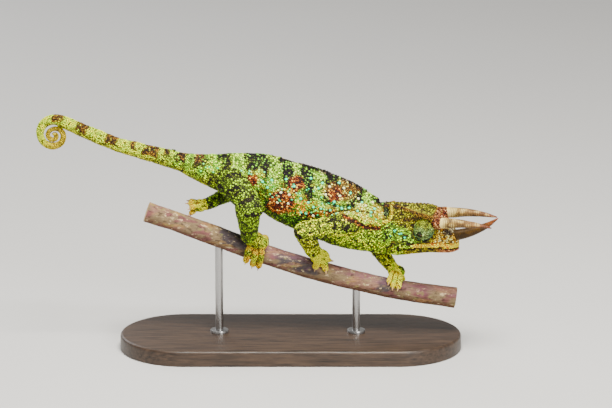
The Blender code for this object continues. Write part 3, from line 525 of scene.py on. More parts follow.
def coil_knots():
    """The coil's knots from the tail's tip outwards, eight to a turn."""
    quarters = np.arange(len(COIL_QUARTERS), dtype=float)
    eighths = np.arange(0, len(COIL_QUARTERS) - 0.5, 0.5)
    rows = []
    for place, (distance, tall, wide) in zip(eighths, hermite(COIL_QUARTERS, quarters, eighths)):
        turn = place * TURN / 4
        inward = min(max((place - 1.5) / 3, 0.0), 1.0)
        drop = COIL_DRIFT * inward * inward * (3 - 2 * inward)
        rows.append((
            COIL_CENTRE.x - distance * math.sin(turn), 0.0,
            COIL_CENTRE.z - drop + distance * math.cos(turn), tall, wide, 0.0,
        ))
    return rows[::-1]


SPINE = np.array(coil_knots() + list(TRUNK_KNOTS))
SPINE_RUN = lengths_of(SPINE)
COIL_END = 2 * len(COIL_QUARTERS) - 1


def spine_rows(at):
    """Rows of the spine at distances from the tail's tip, with their tangents."""
    rows = hermite(SPINE, SPINE_RUN, at)
    step = 0.05
    return rows, hermite(SPINE, SPINE_RUN, at + step)[:, :3] - hermite(SPINE, SPINE_RUN, at - step)[:, :3]


def head_matrix():
    turn = (
        Matrix.Rotation(math.radians(HEAD_YAW), 4, "Z")
        @ Matrix.Rotation(math.radians(HEAD_PITCH), 4, "Y")
        @ Matrix.Rotation(math.radians(HEAD_ROLL), 4, "X")
    )
    return Matrix.Translation(HEAD_ORIGIN) @ turn


HEAD = head_matrix()
HEAD_BACK_TO_LOCAL = np.array(HEAD.inverted())


def head_ring(x, grow=0.0):
    """The head's outline at x: crown, crest, temple, cheek, lip, jaw and chin, then mirrored."""
    crown, mouth, chin = (profile(table, x)[0] for table in (CROWN_Z, MOUTH_Z, CHIN_Z))
    crest_y, crest_z = profile(CREST_Y, x)[0], crown + profile(CREST_LIFT, x)[0]
    cheek_y, cheek_z = profile(CHEEK_Y, x)[0], profile(CHEEK_Z, x)[0]
    lip_y = profile(LIP_Y, x)[0]
    dip = min(CROWN_DIP, crest_y * 0.1)
    half = [
        (0.0, crown - dip), (crest_y, crest_z),
        (profile(TEMPLE_Y, x)[0], 0.45 * crest_z + 0.55 * cheek_z), (cheek_y, cheek_z),
        (lip_y, mouth), (lip_y * JAW_SHARE, mouth + (chin - mouth) * JAW_DROP), (0.0, chin),
    ]
    outline = np.array(half + [(-y, z) for y, z in half[-2:0:-1]])
    if grow:
        away = outline - np.array((0.0, (crown + chin) / 2))
        outline = outline + away / np.linalg.norm(away, axis=1)[:, None] * grow
    looped = np.vstack([outline[-2:], outline, outline[:3]])
    marks = np.arange(-2, len(outline) + 3, dtype=float)
    at = [i + k / n for i, n in enumerate((4, 4, 4, 4, 6, 6)) for k in range(n)]
    count = len(half) - 1
    at += [2 * count - t for t in ([float(count)] + at[:0:-1])]
    section = hermite(looped, marks, np.array(sorted(at)))
    return np.column_stack([np.full(len(section), float(x)), section])


def mirrored(point, side):
    return Vector((point[0], point[1] * side, point[2]))


def sided(knots, side):
    """A path's knots for the left side, 1, or the right side, -1."""
    return [(x, y * side, z, radius) for x, y, z, radius in knots]


def in_world(ring):
    return np.array([HEAD @ Vector(p) for p in ring])


def branch_row(x):
    """The branch's y, z and radius at x."""
    table = np.array(BRANCH_KNOTS)
    return hermite(table[:, 1:], table[:, 0], np.array([x]))[0]


def branch_point(x, degrees, over):
    """A point beside the branch: at x along it, turned from its top to the near side."""
    y, z, radius = branch_row(x)
    ahead = branch_row(x + 1.0)
    run = Vector((1.0, ahead[0] - y, ahead[1] - z)).normalized()
    side = Vector((0, 1, 0))
    side = (side - run * side.dot(run)).normalized()
    up = run.cross(side)
    angle = math.radians(degrees)
    return Vector((x, y, z)) + (up * math.cos(angle) - side * math.sin(angle)) * (radius + over)


def toe_paths(label):
    """The palm's centre and radii, and each toe's points and radius."""
    toes = []
    if label not in GRIPS:
        palm, radii = TRAILING_PALM
        for tip, radius in TRAILING_TOES:
            toes.append(([palm, palm.lerp(tip, 0.55) + Vector((0, 0, 0.5)), tip], radius))
        return palm, radii, toes
    (x, degrees, over, radii), measures = GRIPS[label]
    palm = branch_point(x, degrees, over)
    for knuckle, tip, radius in measures:
        middle = [(a + b) / 2 for a, b in zip(knuckle, tip)]
        middle[2] = min(knuckle[2], tip[2])
        toes.append(([palm, *(branch_point(*at) for at in (knuckle, middle, tip))], radius))
    return palm, radii, toes


BONES = []          # limb, part, start, end, two radii and toe's number of each straight length


def add_bones(limb, part, rows, spans, toe=-1):
    for first, last in zip(spans, spans[1:]):
        BONES.append((limb, part, rows[first, :3], rows[last, :3], rows[first, 3], rows[last, 3], toe))


def toe_hint(run):
    """A direction well off a thin tube's run, which its cross-sections are squared to."""
    return (1.0, 0.0, 0.0) if abs(run.x) < 0.8 else (0.0, 1.0, 0.0)


def add_toe(bm, path, count, sides):
    """A tube with round ends: a toe, or the web between two toes."""
    rows = tube_rows(path, count, -COAT * 0.6)
    run = Vector(rows[-1, :3] - rows[0, :3]).normalized()
    loft(bm, rings_of(rounded(rows), sides, toe_hint(run)))
    return rows


def add_limb(bm, number, label):
    """A limb's two lengths, wrist, palm, toes and webs."""
    lengths = LIMBS[label]
    for part, (start, end, (root, belly, far)) in enumerate(lengths):
        knots = []
        for share, radius in ((0.0, root), (0.35, belly), (0.7, (belly + far) / 2), (1.0, far)):
            knots.append((*(start + (end - start) * share), radius))
        rows = tube_rows(knots, 16, -COAT)
        hint = (0.0, 0.0, 1.0) if abs((end - start).normalized().z) < 0.8 else (1.0, 0.0, 0.0)
        loft(bm, rings_of(rounded(rows), 32, hint))
        add_bones(number, part, rows, (0, 5, 10, 15))
    palm, radii, toes = toe_paths(label)
    ball = bmesh.ops.create_uvsphere(bm, u_segments=24, v_segments=16, radius=1.0)["verts"]
    size = Matrix.Diagonal((*(r - COAT for r in radii), 1.0))
    bmesh.ops.transform(bm, matrix=Matrix.Translation(palm) @ size, verts=ball)
    _, ankle, (_, _, far) = lengths[LOWER]
    wrist = tube_rows([(*ankle, far), (*palm, min(radii) * 0.9)], 4, -COAT)
    loft(bm, rings_of(rounded(wrist), 24, (1, 0, 0)))
    add_bones(number, PALM, wrist, (0, 3))
    for toe, (points, radius) in enumerate(toes):
        path = [(*points[0], radius * 1.1), *((*p, radius) for p in points[1:])]
        add_bones(number, TOE, add_toe(bm, path, 14, 16), (0, 6, 13), number * 10 + toe)
    for bundle in BUNDLES[label]:
        for one, other in zip(bundle, bundle[1:]):
            radius = min(toes[one][1], toes[other][1]) * WEB_SHARE
            middles = [(a + b) / 2 for a, b in zip(toes[one][0][:-1], toes[other][0][:-1])]
            add_toe(bm, [(*p, radius) for p in middles], 8, 12)


def turret_rings(side):
    """An eye turret's rings out to the lids, and in again to the cup under the eyeball."""
    axis = mirrored(TURRET_AXIS, side).normalized()
    centre = mirrored(TURRET_CENTRE, side)
    across = axis.cross(Vector((0, 0, 1))).normalized()
    up = across.cross(axis)
    rings = []
    for number, (out, radius) in enumerate(TURRET_PROFILE):
        inset = COAT if number < 7 else 0.0
        lid = LID_CLOSED * min(max((number - 5) / 3, 0.0), 1.0)
        ring = []
        for k in range(36):
            angle = TURN * k / 36
            round_it = across * math.cos(angle) + up * math.sin(angle) * (1 - lid)
            ring.append(centre + axis * (out - inset * 0.5) + round_it * (radius - inset * 0.6))
        rings.append(ring)
    return in_world([p for ring in rings for p in ring]).reshape(len(rings), 36, 3)


def flesh():
    """Every length of the animal in one mesh of overlapping closed bodies."""
    bm = bmesh.new()
    along = np.linspace(SPINE_START, SPINE_RUN[-1], 330)
    rows, tangent = spine_rows(along)
    coil_end = SPINE_RUN[COIL_END]
    inset = COAT * np.interp(along, (0.0, coil_end, coil_end + 40), (0.35, 0.45, 1.0))
    rows[:, 3:5] = np.maximum(rows[:, 3:5] - inset[:, None], 0.2)
    trunk = rings_of(rows, SIDES, tangent=tangent)
    loft(bm, trunk)
    stations = [*np.arange(HEAD_BACK, 30, 1.5), 30.5, 31.6, 32.6, 33.4, 34.0, 34.35]
    head = [in_world(head_ring(x, -COAT)) for x in stations]
    loft(bm, head)
    # The neck goes smoothly from the trunk's last ring to the head's first
    back, front = trunk[-1], head[0]
    away, into = units(back - trunk[-2]), units(head[1] - front)
    reach = np.linalg.norm(front.mean(0) - back.mean(0))
    loft(bm, [
        back * (2 * t**3 - 3 * t**2 + 1) + away * reach * (t**3 - 2 * t**2 + t)
        + front * (3 * t**2 - 2 * t**3) + into * reach * (t**3 - t**2)
        for t in np.linspace(-0.12, 1.12, 15)
    ])
    for knots, side in ((SIDE_BOSS, 1), (SIDE_BOSS, -1), (NOSE_BOSS, 1)):
        boss = tube_rows(sided(knots, side), 8, -COAT)
        loft(bm, [in_world(ring) for ring in rings_of(boss, 28, (0.05, 1, 0))])
    for side in (1, -1):
        loft(bm, turret_rings(side))
    for number, label in enumerate(LIMBS):
        add_limb(bm, number, label)
    return bm


def evaluated_mesh(obj):
    """The mesh that an object's modifiers make, in place of the object."""
    graph = bpy.context.evaluated_depsgraph_get()
    mesh = bpy.data.meshes.new_from_object(obj.evaluated_get(graph), depsgraph=graph)
    old = obj.data
    bpy.data.objects.remove(obj)
    bpy.data.meshes.remove(old)
    return mesh


def melted(mesh):
    """Joins overlapping bodies into one even surface."""
    obj = placed("melt", mesh)
    remesh = obj.modifiers.new("melt", "REMESH")
    remesh.mode = "VOXEL"
    remesh.voxel_size = VOXEL * MM
    return evaluated_mesh(obj)


def eased(mesh, points, steps, share=None):
    """Moves each point towards its neighbours' middle, once for each step's strength."""
    edges = np.empty(len(mesh.edges) * 2, int)
    mesh.edges.foreach_get("vertices", edges)
    one, other = edges.reshape(-1, 2).T
    size = len(points)
    count = np.bincount(edges, minlength=size)[:, None]
    for step in steps:
        total = np.column_stack([
            np.bincount(one, points[other, k], size) + np.bincount(other, points[one, k], size)
            for k in range(3)
        ])
        move = (total / count - points) * step
        points = points + (move if share is None else move * share[:, None])
    return points


def thinned(mesh, triangles):
    """The same surface in about the given number of triangles."""
    obj = placed("thin", mesh)
    mesh.calc_loop_triangles()
    thin = obj.modifiers.new("thin", "DECIMATE")
    thin.ratio = min(1.0, triangles / len(mesh.loop_triangles))
    return evaluated_mesh(obj)


def head_local(points):
    return points @ HEAD_BACK_TO_LOCAL[:3, :3].T + HEAD_BACK_TO_LOCAL[:3, 3]


class Where:
    """Where each point lies on the animal: its region and its measures there."""

    def __init__(self, points):
        self.points = points
        count = len(points)
        # Along the spine and round it
        run = np.linspace(SPINE_START, SPINE_RUN[-1], 420)
        rows, tangent = spine_rows(run)
        tangent = units(tangent)
        best, index = np.full(count, 1e9), np.zeros(count, int)
        for number, row in enumerate(rows):
            score = np.linalg.norm(points - row[:3], axis=1) - row[3]
            closer = score < best
            best[closer], index[closer] = score[closer], number
        side, up = directions(rows[:, :3], (0, 1, 0), tangent)
        away = points - rows[index, :3]
        self.rise = (away * up[index]).sum(1) / rows[index, 3]
        self.spread = (away * side[index]).sum(1) / rows[index, 4]
        self.body_gap = (np.sqrt(self.rise**2 + self.spread**2) - 1) * rows[index, 4]
        self.run = run[index]
        first_knot = SPINE_RUN[COIL_END]
        unrolled = SPINE[COIL_END, 0] + self.run - first_knot
        self.s = np.where(self.run < first_knot, unrolled, rows[index, 0])
        self.top_x = self.s - self.rise * rows[index, 3] * tangent[index, 2]
        self.lie = tangent[index]
        self.side = np.sign(points[:, 1])
        # Across and up as seen from the photo's angle, the same on both sides
        self.a = points[:, 0]
        self.b = points[:, 2] * math.cos(VIEW_TILT) - np.abs(points[:, 1]) * math.sin(VIEW_TILT)
        # Along the nearest bone
        gap, bone, share = np.full(count, 1e9), np.zeros(count, int), np.zeros(count)
        lie = np.zeros((count, 3))
        toe, toe_gap, beside = np.full(count, -1), np.full(count, 1e9), np.full(count, 1e9)
        for number, (_, part, start, end, r0, r1, toe_number) in enumerate(BONES):
            axis = end - start
            t = np.clip(((points - start) @ axis) / (axis @ axis), 0, 1)
            distance = np.linalg.norm(points - start - t[:, None] * axis, axis=1) - (r0 + (r1 - r0) * t)
            closer = distance < gap
            gap[closer], bone[closer], share[closer] = distance[closer], number, t[closer]
            lie[closer] = axis / np.linalg.norm(axis)
            if part == TOE:
                nearer, other = distance < toe_gap, toe != toe_number
                beside = np.where(nearer & other, toe_gap, beside)
                beside = np.where(~nearer & other, np.minimum(beside, distance), beside)
                toe, toe_gap = np.where(nearer, toe_number, toe), np.minimum(toe_gap, distance)
        self.bone, self.bone_share, self.limb_gap = bone, share, gap
        self.limb, self.part = np.array([b[:2] for b in BONES])[bone].T
        self.crease = hill(beside - toe_gap, 0.0, 0.12, 0.5) * (self.part == TOE) * (toe_gap < 1.0)
        # On the head and its turrets
        self.head = head_local(points)
        hx, hy, hz = self.head.T
        self.on_head = (hx > -3.6) & (np.abs(hy) < 14) & (hz > -17) & (hz < 15) & (gap > 0.45)
        centres = np.array([mirrored(TURRET_CENTRE, s) for s in (1, -1)])
        axes = np.array([mirrored(TURRET_AXIS, s).normalized() for s in (1, -1)])
        pick = (hy < 0).astype(int)
        off = self.head - centres[pick]
        self.turret_out = (off * axes[pick]).sum(1)
        self.turret_radius = np.linalg.norm(off - self.turret_out[:, None] * axes[pick], axis=1)
        self.turret = self.on_head & (self.turret_radius < 5.35) & (self.turret_out > -1.4)
        self.turret_turn = np.arctan2(off[:, 2], off[:, 0])
        # The other regions
        self.on_limb = ~self.on_head & (gap < np.maximum(self.body_gap, 0.0) * 0.8 + 0.12)
        self.on_grip = self.on_limb & (self.part >= PALM)
        self.on_body = ~(self.on_head | self.on_limb)
        self.on_trunk = self.on_body & (self.s >= TAIL_ROOT)
        self.on_tail = self.on_body & (self.s < TAIL_ROOT)
        self.lie[self.on_limb] = lie[self.on_limb]
        self.lie[self.on_head] = np.array(HEAD.to_3x3())[:, 0]
        self.even = self.turret | self.on_tail | self.on_grip


def near_line(x, z, line, width, soft=0.8):
    """1 on a line of (x, z) points, and smoothly 0 beside it."""
    best = np.full(len(x), 1e9)
    for (x0, z0), (x1, z1) in zip(line, line[1:]):
        run_x, run_z = x1 - x0, z1 - z0
        t = np.clip(((x - x0) * run_x + (z - z0) * run_z) / (run_x**2 + run_z**2), 0, 1)
        best = np.minimum(best, np.hypot(x - x0 - t * run_x, z - z0 - t * run_z))
    return 1 - ramp(best, width, width + soft)


NAPE_ARC = ((0.0, 12.0), (0.9, 10.0), (0.95, 7.8), (0.2, 6.0), (-1.4, 5.0), (-3.4, 4.6))
NAPE_HOLLOW = (-2.2, 9.0)
BROW = ((8.0, 7.2), (12.5, 8.8), (18.0, 9.6), (23.0, 8.0))


def near_hollow(x, z):
    """1 in the hollow behind the arc at the back of the head, which is coloured near black as painted
    shade.
    """
    return hill(np.hypot((x - NAPE_HOLLOW[0]) / 1.2, (z - NAPE_HOLLOW[1]) / 2.0), 0, 0.9, 0.4)


def on_crest(where):
    """1 along the two crests that edge the crown."""
    x, y, z = where.head.T
    edge = hill(np.abs(y), profile(CREST_Y, x), 0.35, 0.7) * hill(z - profile(CROWN_Z, x), 0.1, 0.8, 1.0)
    return where.on_head * (x < 25) * edge


TAIL_BANDS = (   # place along the tail, half width, how far round from the top it reaches
    (-104.2, 1.4, 0.5), (-91.8, 2.1, 0.72), (-77.5, 2.5, 0.62), (-66.8, 0.7, 0.5),
    (-57.6, 3.1, 0.6), (-50.4, 0.7, 0.3), (-42.6, 2.1, 0.45), (-33.2, 2.0, 0.4),
)
PALE_BARS = ((-12.2, 2.8), (5.9, 2.7), (17.2, 2.2), (27.2, 2.8), (37.9, 2.2), (48.6, 1.7))
RUST_SPOTS = ((6.8, 73.9, 6.6), (14.7, 83.0, 4.2), (-7.4, 84.3, 3.0), (35.0, 76.6, 3.6))
STRIPE = ((38.4, 66.4), (43.5, 63.6), (49.0, 60.8), (55.0, 60.2), (62.0, 60.9))
FOLD = ((18.8, 79.2), (25.8, 75.2), (31.6, 72.3), (37.0, 71.2), (43.0, 71.0))
LOW_FOLD = ((29.7, 66.1), (32.9, 68.0), (38.1, 69.3), (47.2, 68.7), (53.1, 68.0))
ARM_LINE = ((20.3, 66.6), (26.0, 67.8), (33.0, 68.8))
BRIGHT_SPOTS = (   # a, b, cyan or white
    (-1.8, 83.4, 0), (0.7, 80.4, 0), (2.7, 84.0, 0), (17.2, 75.4, 0), (21.2, 73.4, 0), (23.2, 70.9, 0),
    (17.2, 68.4, 0), (19.7, 67.4, 0), (26.7, 69.9, 0), (31.7, 68.9, 0), (23.2, 66.9, 1), (7.2, 78.4, 1),
    (11.2, 76.9, 1), (10.7, 73.4, 1), (5.2, 73.4, 1), (27.7, 82.9, 0), (31.7, 81.4, 1), (25.7, 79.9, 0),
    (38.7, 80.4, 1), (36.2, 76.4, 1), (41.7, 77.9, 0), (45.7, 75.4, 1), (41.2, 70.9, 0), (45.2, 68.9, 0),
    (37.2, 70.4, 0), (49.2, 71.9, 1), (51.7, 68.4, 0), (13.7, 80.9, 0), (9.7, 84.9, 0), (33.7, 73.4, 0),
    (47.7, 73.4, 0), (29.2, 76.9, 1), (52.7, 72.9, 1), (54.2, 70.4, 0), (21.7, 85.4, 0), (36.2, 83.4, 0),
)
CHEEK_SPOTS = ((3.6, 1.7), (6.3, 0.5), (1.2, -1.6), (9.4, -1.2))   # on the head, in turquoise


def marked(where):
    """Dark, middle and bright colour of the coat at each point."""
    p = where.points
    tones = np.tile(np.array(TONES["flank"], float), (len(p), 1, 1))
    wide, mid, fine = noise_at(p, 9.0, 1), noise_at(p, 3.6, 2), noise_at(p, 1.7, 3)
    speck = noise_at(p, 0.85, 4)

    def lay(name, share):
        tones[:] += (np.array(TONES[name], float) - tones) * np.clip(share, 0, 1)[:, None, None]

    s, h, a, b = where.s, where.rise, where.a, where.b
    trunk, tail, limb, on_head = where.on_trunk, where.on_tail, where.on_limb, where.on_head
    # Trunk, from the flank out to the belly and back
    lay("flank_teal", ramp(wide + 0.5 * mid, 0.25, 0.6) * ramp(h, -0.35, 0.1))
    lay("low_flank", 1 - ramp(h + 0.16 * mid, -0.32, -0.02))
    tan = hill(h + 0.1 * wide, 0.0, 0.42, 0.2) * (0.35 + 0.65 * ramp(s, 4, 14))
    lay("flank_tan", tan * ramp(speck + 0.25 * mid, 0.0, 0.3))
    over_arm = hill(np.hypot((a - 45) / 15.0, (b - 69.0) / 5.6) + 0.15 * mid, 0, 0.85, 0.3)
    lay("shoulder", over_arm * ramp(speck, -0.9, 0.1))
    lay("throat", ramp(s + 2.2 * mid - (b - 62) * 0.7, 40, 44) * (1 - ramp(b, 61, 63.5)))
    lay("belly", 1 - ramp(h + 0.1 * mid, -0.92, -0.7))
    top = where.top_x
    bars = np.zeros(len(p))
    for centre, half in PALE_BARS:
        bars = np.maximum(bars, hill(top + 1.1 * mid + 1.0 * fine, centre, half - 0.6, 1.1))
    neck = ramp(s, 34, 46)
    low_edge = 0.42 - np.clip(s + 5, 0, 45) * 0.007 + 0.68 * neck
    back = ramp(h + 0.14 * mid, low_edge - 0.12, low_edge + 0.08) * ramp(s, -22, -16)
    lay("black", back * (1 - bars) * ramp(fine + 0.4 * mid, -1.1, -0.6))
    bars *= ramp(h + 0.15 * mid - 0.45 * neck, -0.05, 0.25)
    lay("pale", bars * ramp(s, -24, -18))
    lay("black", bars * ramp(speck + 0.4 * fine + 0.6 * h, 0.9, 1.3) * ramp(s, -24, -18) * 0.8)
    lay("saddle", hill(np.hypot((a - 37) / 9.0, (b - 79) / 5.6) + 0.15 * mid, 0, 0.8, 0.35) * 0.9)
    lay("keel", ramp(h + 0.03 * fine, 0.94, 0.98) * ramp(s, -8, 4) * 0.85)
    lay("hips", 1 - ramp(s + 2 * mid, -13, -7))
    lay("hip_mint", hill(top + 1.2 * mid, -27.6, 5.6, 2.0) * ramp(h + 0.2 * mid, 0.05, 0.4))
    lay("pale", hill(top + 0.9 * mid, -12.2, 2.8, 1.2) * ramp(h + 0.15 * mid, -0.05, 0.3))
    lay("black", hill(top + 1.0 * mid, -19.6, 2.4, 1.2) * ramp(h + 0.2 * mid, 0.45, 0.7) * 0.8)
    for spot_a, spot_b, radius in RUST_SPOTS:
        distance = np.hypot(a - spot_a, b - spot_b) + 1.1 * mid + 0.9 * fine
        lay("rust", trunk * hill(distance, 0, radius * 0.85, 1.1))
    # Painted shade along the sunken fold on the flank
    lay("fold", trunk * near_line(a, b, FOLD, 0.3, 0.5) * 0.85)
    # Painted shade along the lower fold on the flank
    lay("head_dark", trunk * near_line(a, b, LOW_FOLD, 0.2, 0.4) * 0.8)
    lay("rust", trunk * near_line(a, b + 0.4 * mid, ARM_LINE, 0.5, 0.7) * 0.8)
    # Tail
    lay("tail_root", (s < -26) * (1 - ramp(s + 2 * mid, -29, -26)))
    lay("tail", tail * (1 - ramp(s + 2.5 * mid, -52, -42)))
    lay("tail_under", (s < -26) * (s > -112) * (1 - ramp(h + 0.2 * mid, -0.75, -0.2)) * 0.8)
    lay("hips", (s > -56) * (s < -26) * ramp(fine + 0.5 * speck, 0.15, 0.5) * 0.8)
    for centre, half, reach in TAIL_BANDS:
        band = hill(s + 0.8 * mid + 0.5 * fine, centre, half, 1.1)
        band *= ramp(h + 0.25 * mid, 0.9 - 2 * reach, 1.15 - 2 * reach) * ramp(fine + speck, -1.3, -0.6)
        lay("tail_band", (s < -28) * band)
    lay("tail_inner", tail * (1 - ramp(s, -128, -116)) * 0.8)
    # Limbs
    front = where.limb < FRONT_LIMBS
    lay("limb", limb)
    lay("arm", limb * front * (where.part == UPPER))
    lay("limb_dark", limb * (where.part < PALM) * ramp(mid + 0.5 * wide, 0.25, 0.55))
    lay("limb_dark", limb * hill(np.hypot(a + 14.8, b - 78.9), 0, 2.2, 0.8))
    lower = limb * (where.part == LOWER)
    lay("forearm", lower * front * ramp(where.bone_share + (b < 58), 0.1, 0.9) * ramp(fine, -0.9, -0.1))
    grip = where.on_grip
    lay("foot", grip * ramp(fine + 0.5 * mid, -0.9, -0.3))
    lay("hand", grip * (front | (where.limb == REAR_LEFT)) * ramp(fine + 0.4 * mid, -0.8, -0.2))
    lay("limb_dark", grip * ramp(speck + 0.4 * fine, 0.4, 0.75) * 0.75)
    lay("toe", limb * (where.part == TOE) * ramp(where.bone_share + 0.2 * mid, 0.35, 0.9) * 0.75)
    # Painted shade in the creases where toes meet
    lay("toe_gap", limb * where.crease * 0.9)
    # Painted shade in dark red-brown along the fold from the upper arm to the corner of the head
    lay("fold_shade_line", near_line(a, b + 0.4 * mid, STRIPE, 0.45, 0.9) * ~tail)
    # Head
    x, _, z = where.head.T
    out, radius, turn = where.turret_out, where.turret_radius, where.turret_turn
    lay("casque", on_head)
    lay("crown", on_head * ramp(z - profile(CROWN_Z, x) + 0.5 * mid, -1.6, -0.6))
    lay("cheek", on_head * (1 - ramp(z + 0.8 * mid + 0.25 * (x - 6), 2.5, 5.5)) * (1 - ramp(x, 17, 22)))
    lay("throat", on_head * (1 - ramp(z + 0.8 * mid, -6.5, -4.0)) * (1 - ramp(x, 8, 15)))
    lay("nape", on_head * hill(np.hypot((x + 2.6) / 2.2, (z - 6.2) / 3.8), 0, 0.8, 0.3) * 0.8)
    lay("snout", on_head * ramp(x + 0.8 * mid - 0.3 * z, 22.0, 24.5))
    lay("boss", on_head * ramp(x + 0.5 * mid, 21.0, 22.6) * ramp(z, 3.4, 5.0) * (1 - ramp(x, 29.5, 31)))
    lay("grey", on_head * hill(np.hypot((x - 29.6) / 2.4, (z - 2.2) / 1.6), 0, 0.8, 0.5))
    lay("head_dark", on_head * near_line(x, z, ((7.4, 6.9), (11.5, 8.3), (15.0, 10.0)), 0.5) * 0.8)
    lay("head_dark", on_head * near_line(x, z, ((0.0, -8.6), (4.6, -4.4), (9.5, -3.0)), 0.6) * 0.4)
    lay("head_dark", on_head * ramp(fine + 0.6 * speck, 0.5, 0.8) * (1 - where.turret) * 0.8)
    lay("crest", on_crest(where) * 0.9)
    # Painted shade in the crease round the foot of each eye turret
    lay("head_dark", on_head * np.exp(-((radius - 5.7) / 0.5) ** 2) * (out > -3) * 0.6)
    over_lip = z - profile(MOUTH_Z, x)
    lay("lip", on_head * ramp(x, 10.5, 14.5) * hill(over_lip + 0.3 * fine, 1.25, 1.0, 0.7))
    lay("head_dark", on_head * ramp(x, 10, 14) * hill(over_lip, 0.5, 0.5, 0.4) * ramp(mid, 0.35, 0.6))
    under = on_head * (over_lip < -0.15) * ramp(x, MOUTH_CORNER, 10)
    lay("jaw", under)
    lay("jaw_tip", under * ramp(x, 22, 27))
    # Painted shade in the mouth line between the jaws
    lay("head_dark", on_head * hill(over_lip, -0.1, 0.28, 0.25) * ramp(x, MOUTH_CORNER, 9))
    # Painted shade: the hollow behind the arc is laid near black
    lay("hollow_shade", on_head * near_hollow(x, z))
    lay("arc", on_head * near_line(x, z, NAPE_ARC, 0.42, 0.4))
    lay("turret", where.turret)
    low_rim = ramp(radius, 3.6, 4.8) * ramp(-np.sin(turn) + 0.4 * mid, -0.3, 0.5)
    lay("turret_rim", where.turret * low_rim)
    # Painted shade: dark radial lines stand for the turret's folds
    streak = ramp(np.sin(turn * 13) + 0.8 * fine, 0.55, 1.1) * ramp(radius, 1.6, 2.6)
    lay("head_dark", where.turret * streak * 0.55)
    lay("casque", where.turret * ramp(np.sin(turn), 0.3, 0.9) * ramp(radius, 2.6, 4.6) * 0.5)
    return tones


def tone_colour(tones, share):
    """Reads each tone between dark 0, middle 0.5 and bright 1, as linear colour."""
    share = np.clip(share, 0, 1)[:, None]
    low = tones[:, 0] + (tones[:, 1] - tones[:, 0]) * np.minimum(share * 2, 1)
    light = linear(low + (tones[:, 2] - tones[:, 1]) * np.maximum(share * 2 - 1, 0))
    grey = (light @ (0.2, 0.7, 0.1))[:, None]
    return np.maximum(grey + (light - grey) * STRENGTH, 0.002) * BALANCE


def sculpt(mesh):
    """Adds the mouth line, lips, nostrils, creases and the uneven lie of the skin."""
    points, _ = coordinates(mesh)
    points = eased(mesh, points, (0.6, -0.62) * 7)      # evens the surface and keeps its size
    where = Where(points)
    fold = hill(where.limb_gap, 0.0, 1.0, 2.2) * hill(where.body_gap, 0.0, 1.0, 2.2)
    fold *= where.part < PALM
    points = eased(mesh, points, (0.5,) * 40, fold)     # the limbs grow out of the trunk
    move_points(mesh, points)
    points, normals = coordinates(mesh)
    x, _, z = where.head.T
    on_head = where.on_head
    over = z - profile(MOUTH_Z, x)
    mouth_run = on_head * ramp(x, MOUTH_CORNER - 1, MOUTH_CORNER + 2)
    push = np.zeros(len(points))
    push -= mouth_run * 0.62 * np.exp(-(((over + 0.05) / 0.26) ** 2))
    push += mouth_run * 0.22 * np.exp(-(((over - 1.2) / 0.8) ** 2))
    push += mouth_run * 0.12 * np.exp(-(((over + 1.1) / 0.6) ** 2))
    for side in (1, -1):
        hole = np.linalg.norm((where.head - np.array(mirrored(NOSTRIL, side))) / (1.3, 1.0, 0.9), axis=1)
        push -= on_head * 0.9 * np.exp(-(hole**2) * 2.2)
        push += on_head * 0.25 * np.exp(-((hole - 1.5) ** 2) * 6)
    push += on_crest(where) * (0.34 + 0.14 * np.sin(x * 3.4))
    push += on_head * 0.30 * near_line(x, z, NAPE_ARC, 0.4, 0.7)
    push -= on_head * 0.55 * near_hollow(x, z)
    push -= on_head * 0.22 * np.exp(-((where.turret_radius - 5.6) / 0.5) ** 2) * (where.turret_out > -3)
    push += on_head * 0.20 * near_line(x, z, BROW, 0.6, 1.0)
    ripple = np.sin(where.turret_out * 5.2) * 0.06 + 0.05 * np.sin(where.turret_turn * 11) - 0.03
    push += where.turret * (where.turret_out < 4.6) * ripple
    wide, mid, fine = noise_at(points, 6.0, 11), noise_at(points, 2.4, 12), noise_at(points, 1.1, 13)
    calm = np.where(on_head, 0.45, 1.0) * np.where(where.on_limb & (where.part == TOE), 0.4, 1)
    calm *= np.where(where.s < COIL_FROM, 0.25, 1.0) * (1 - 0.8 * where.turret)
    push += calm * (0.16 * wide + 0.09 * mid + 0.05 * fine)
    # Creases round the elbow, the knee and where a limb leaves the trunk
    bend = where.on_limb * (where.part < PALM)
    middle = 1 - ramp(np.abs(where.bone_share - 0.5), 0.3, 0.5)
    push -= 0.10 * (bend - bend * middle) * (np.sin(where.bone_share * 17) > 0.3)
    push -= 0.22 * where.on_limb * where.crease
    trunk = where.on_trunk
    push -= 0.28 * trunk * near_line(where.a, where.b, FOLD, 0.25, 0.6)
    push -= 0.28 * trunk * near_line(where.a, where.b, LOW_FOLD, 0.25, 0.6)
    push += 0.20 * trunk * near_line(where.a, where.b - 1.6, FOLD, 0.5, 1.0)
    push -= 0.30 * trunk * near_line(where.a, where.b, STRIPE, 0.5, 0.7)
    push += trunk * hill(where.rise, 0.0, 0.5, 0.3) * 0.10 * np.sin(where.s * 1.5 + where.rise * 2.0)
    move_points(mesh, points + normals * push[:, None])


def random_on(mesh, spacing_of):
    """Random places on a mesh, as many as the wished spacing asks for."""
    mesh.calc_loop_triangles()
    count = len(mesh.loop_triangles)
    corners, areas = np.empty(count * 3, int), np.empty(count)
    mesh.loop_triangles.foreach_get("vertices", corners)
    mesh.loop_triangles.foreach_get("area", areas)
    points, _ = coordinates(mesh)
    triangles = points[corners.reshape(-1, 3)]
    centres = triangles.mean(axis=1)
    spacing = spacing_of(Where(centres))
    weight = areas / MM**2 / (0.84 * spacing**2)
    weight[spacing >= NO_SCALES] = 0
    total = int(weight.sum() * (1))
    chosen = rng.choice(count, total, p=weight / weight.sum())
    u, v = rng.random(total), rng.random(total)
    flip = u + v > 1
    u[flip], v[flip] = 1 - u[flip], 1 - v[flip]
    t = triangles[chosen]
    return t[:, 0] + (t[:, 1] - t[:, 0]) * u[:, None] + (t[:, 2] - t[:, 0]) * v[:, None]


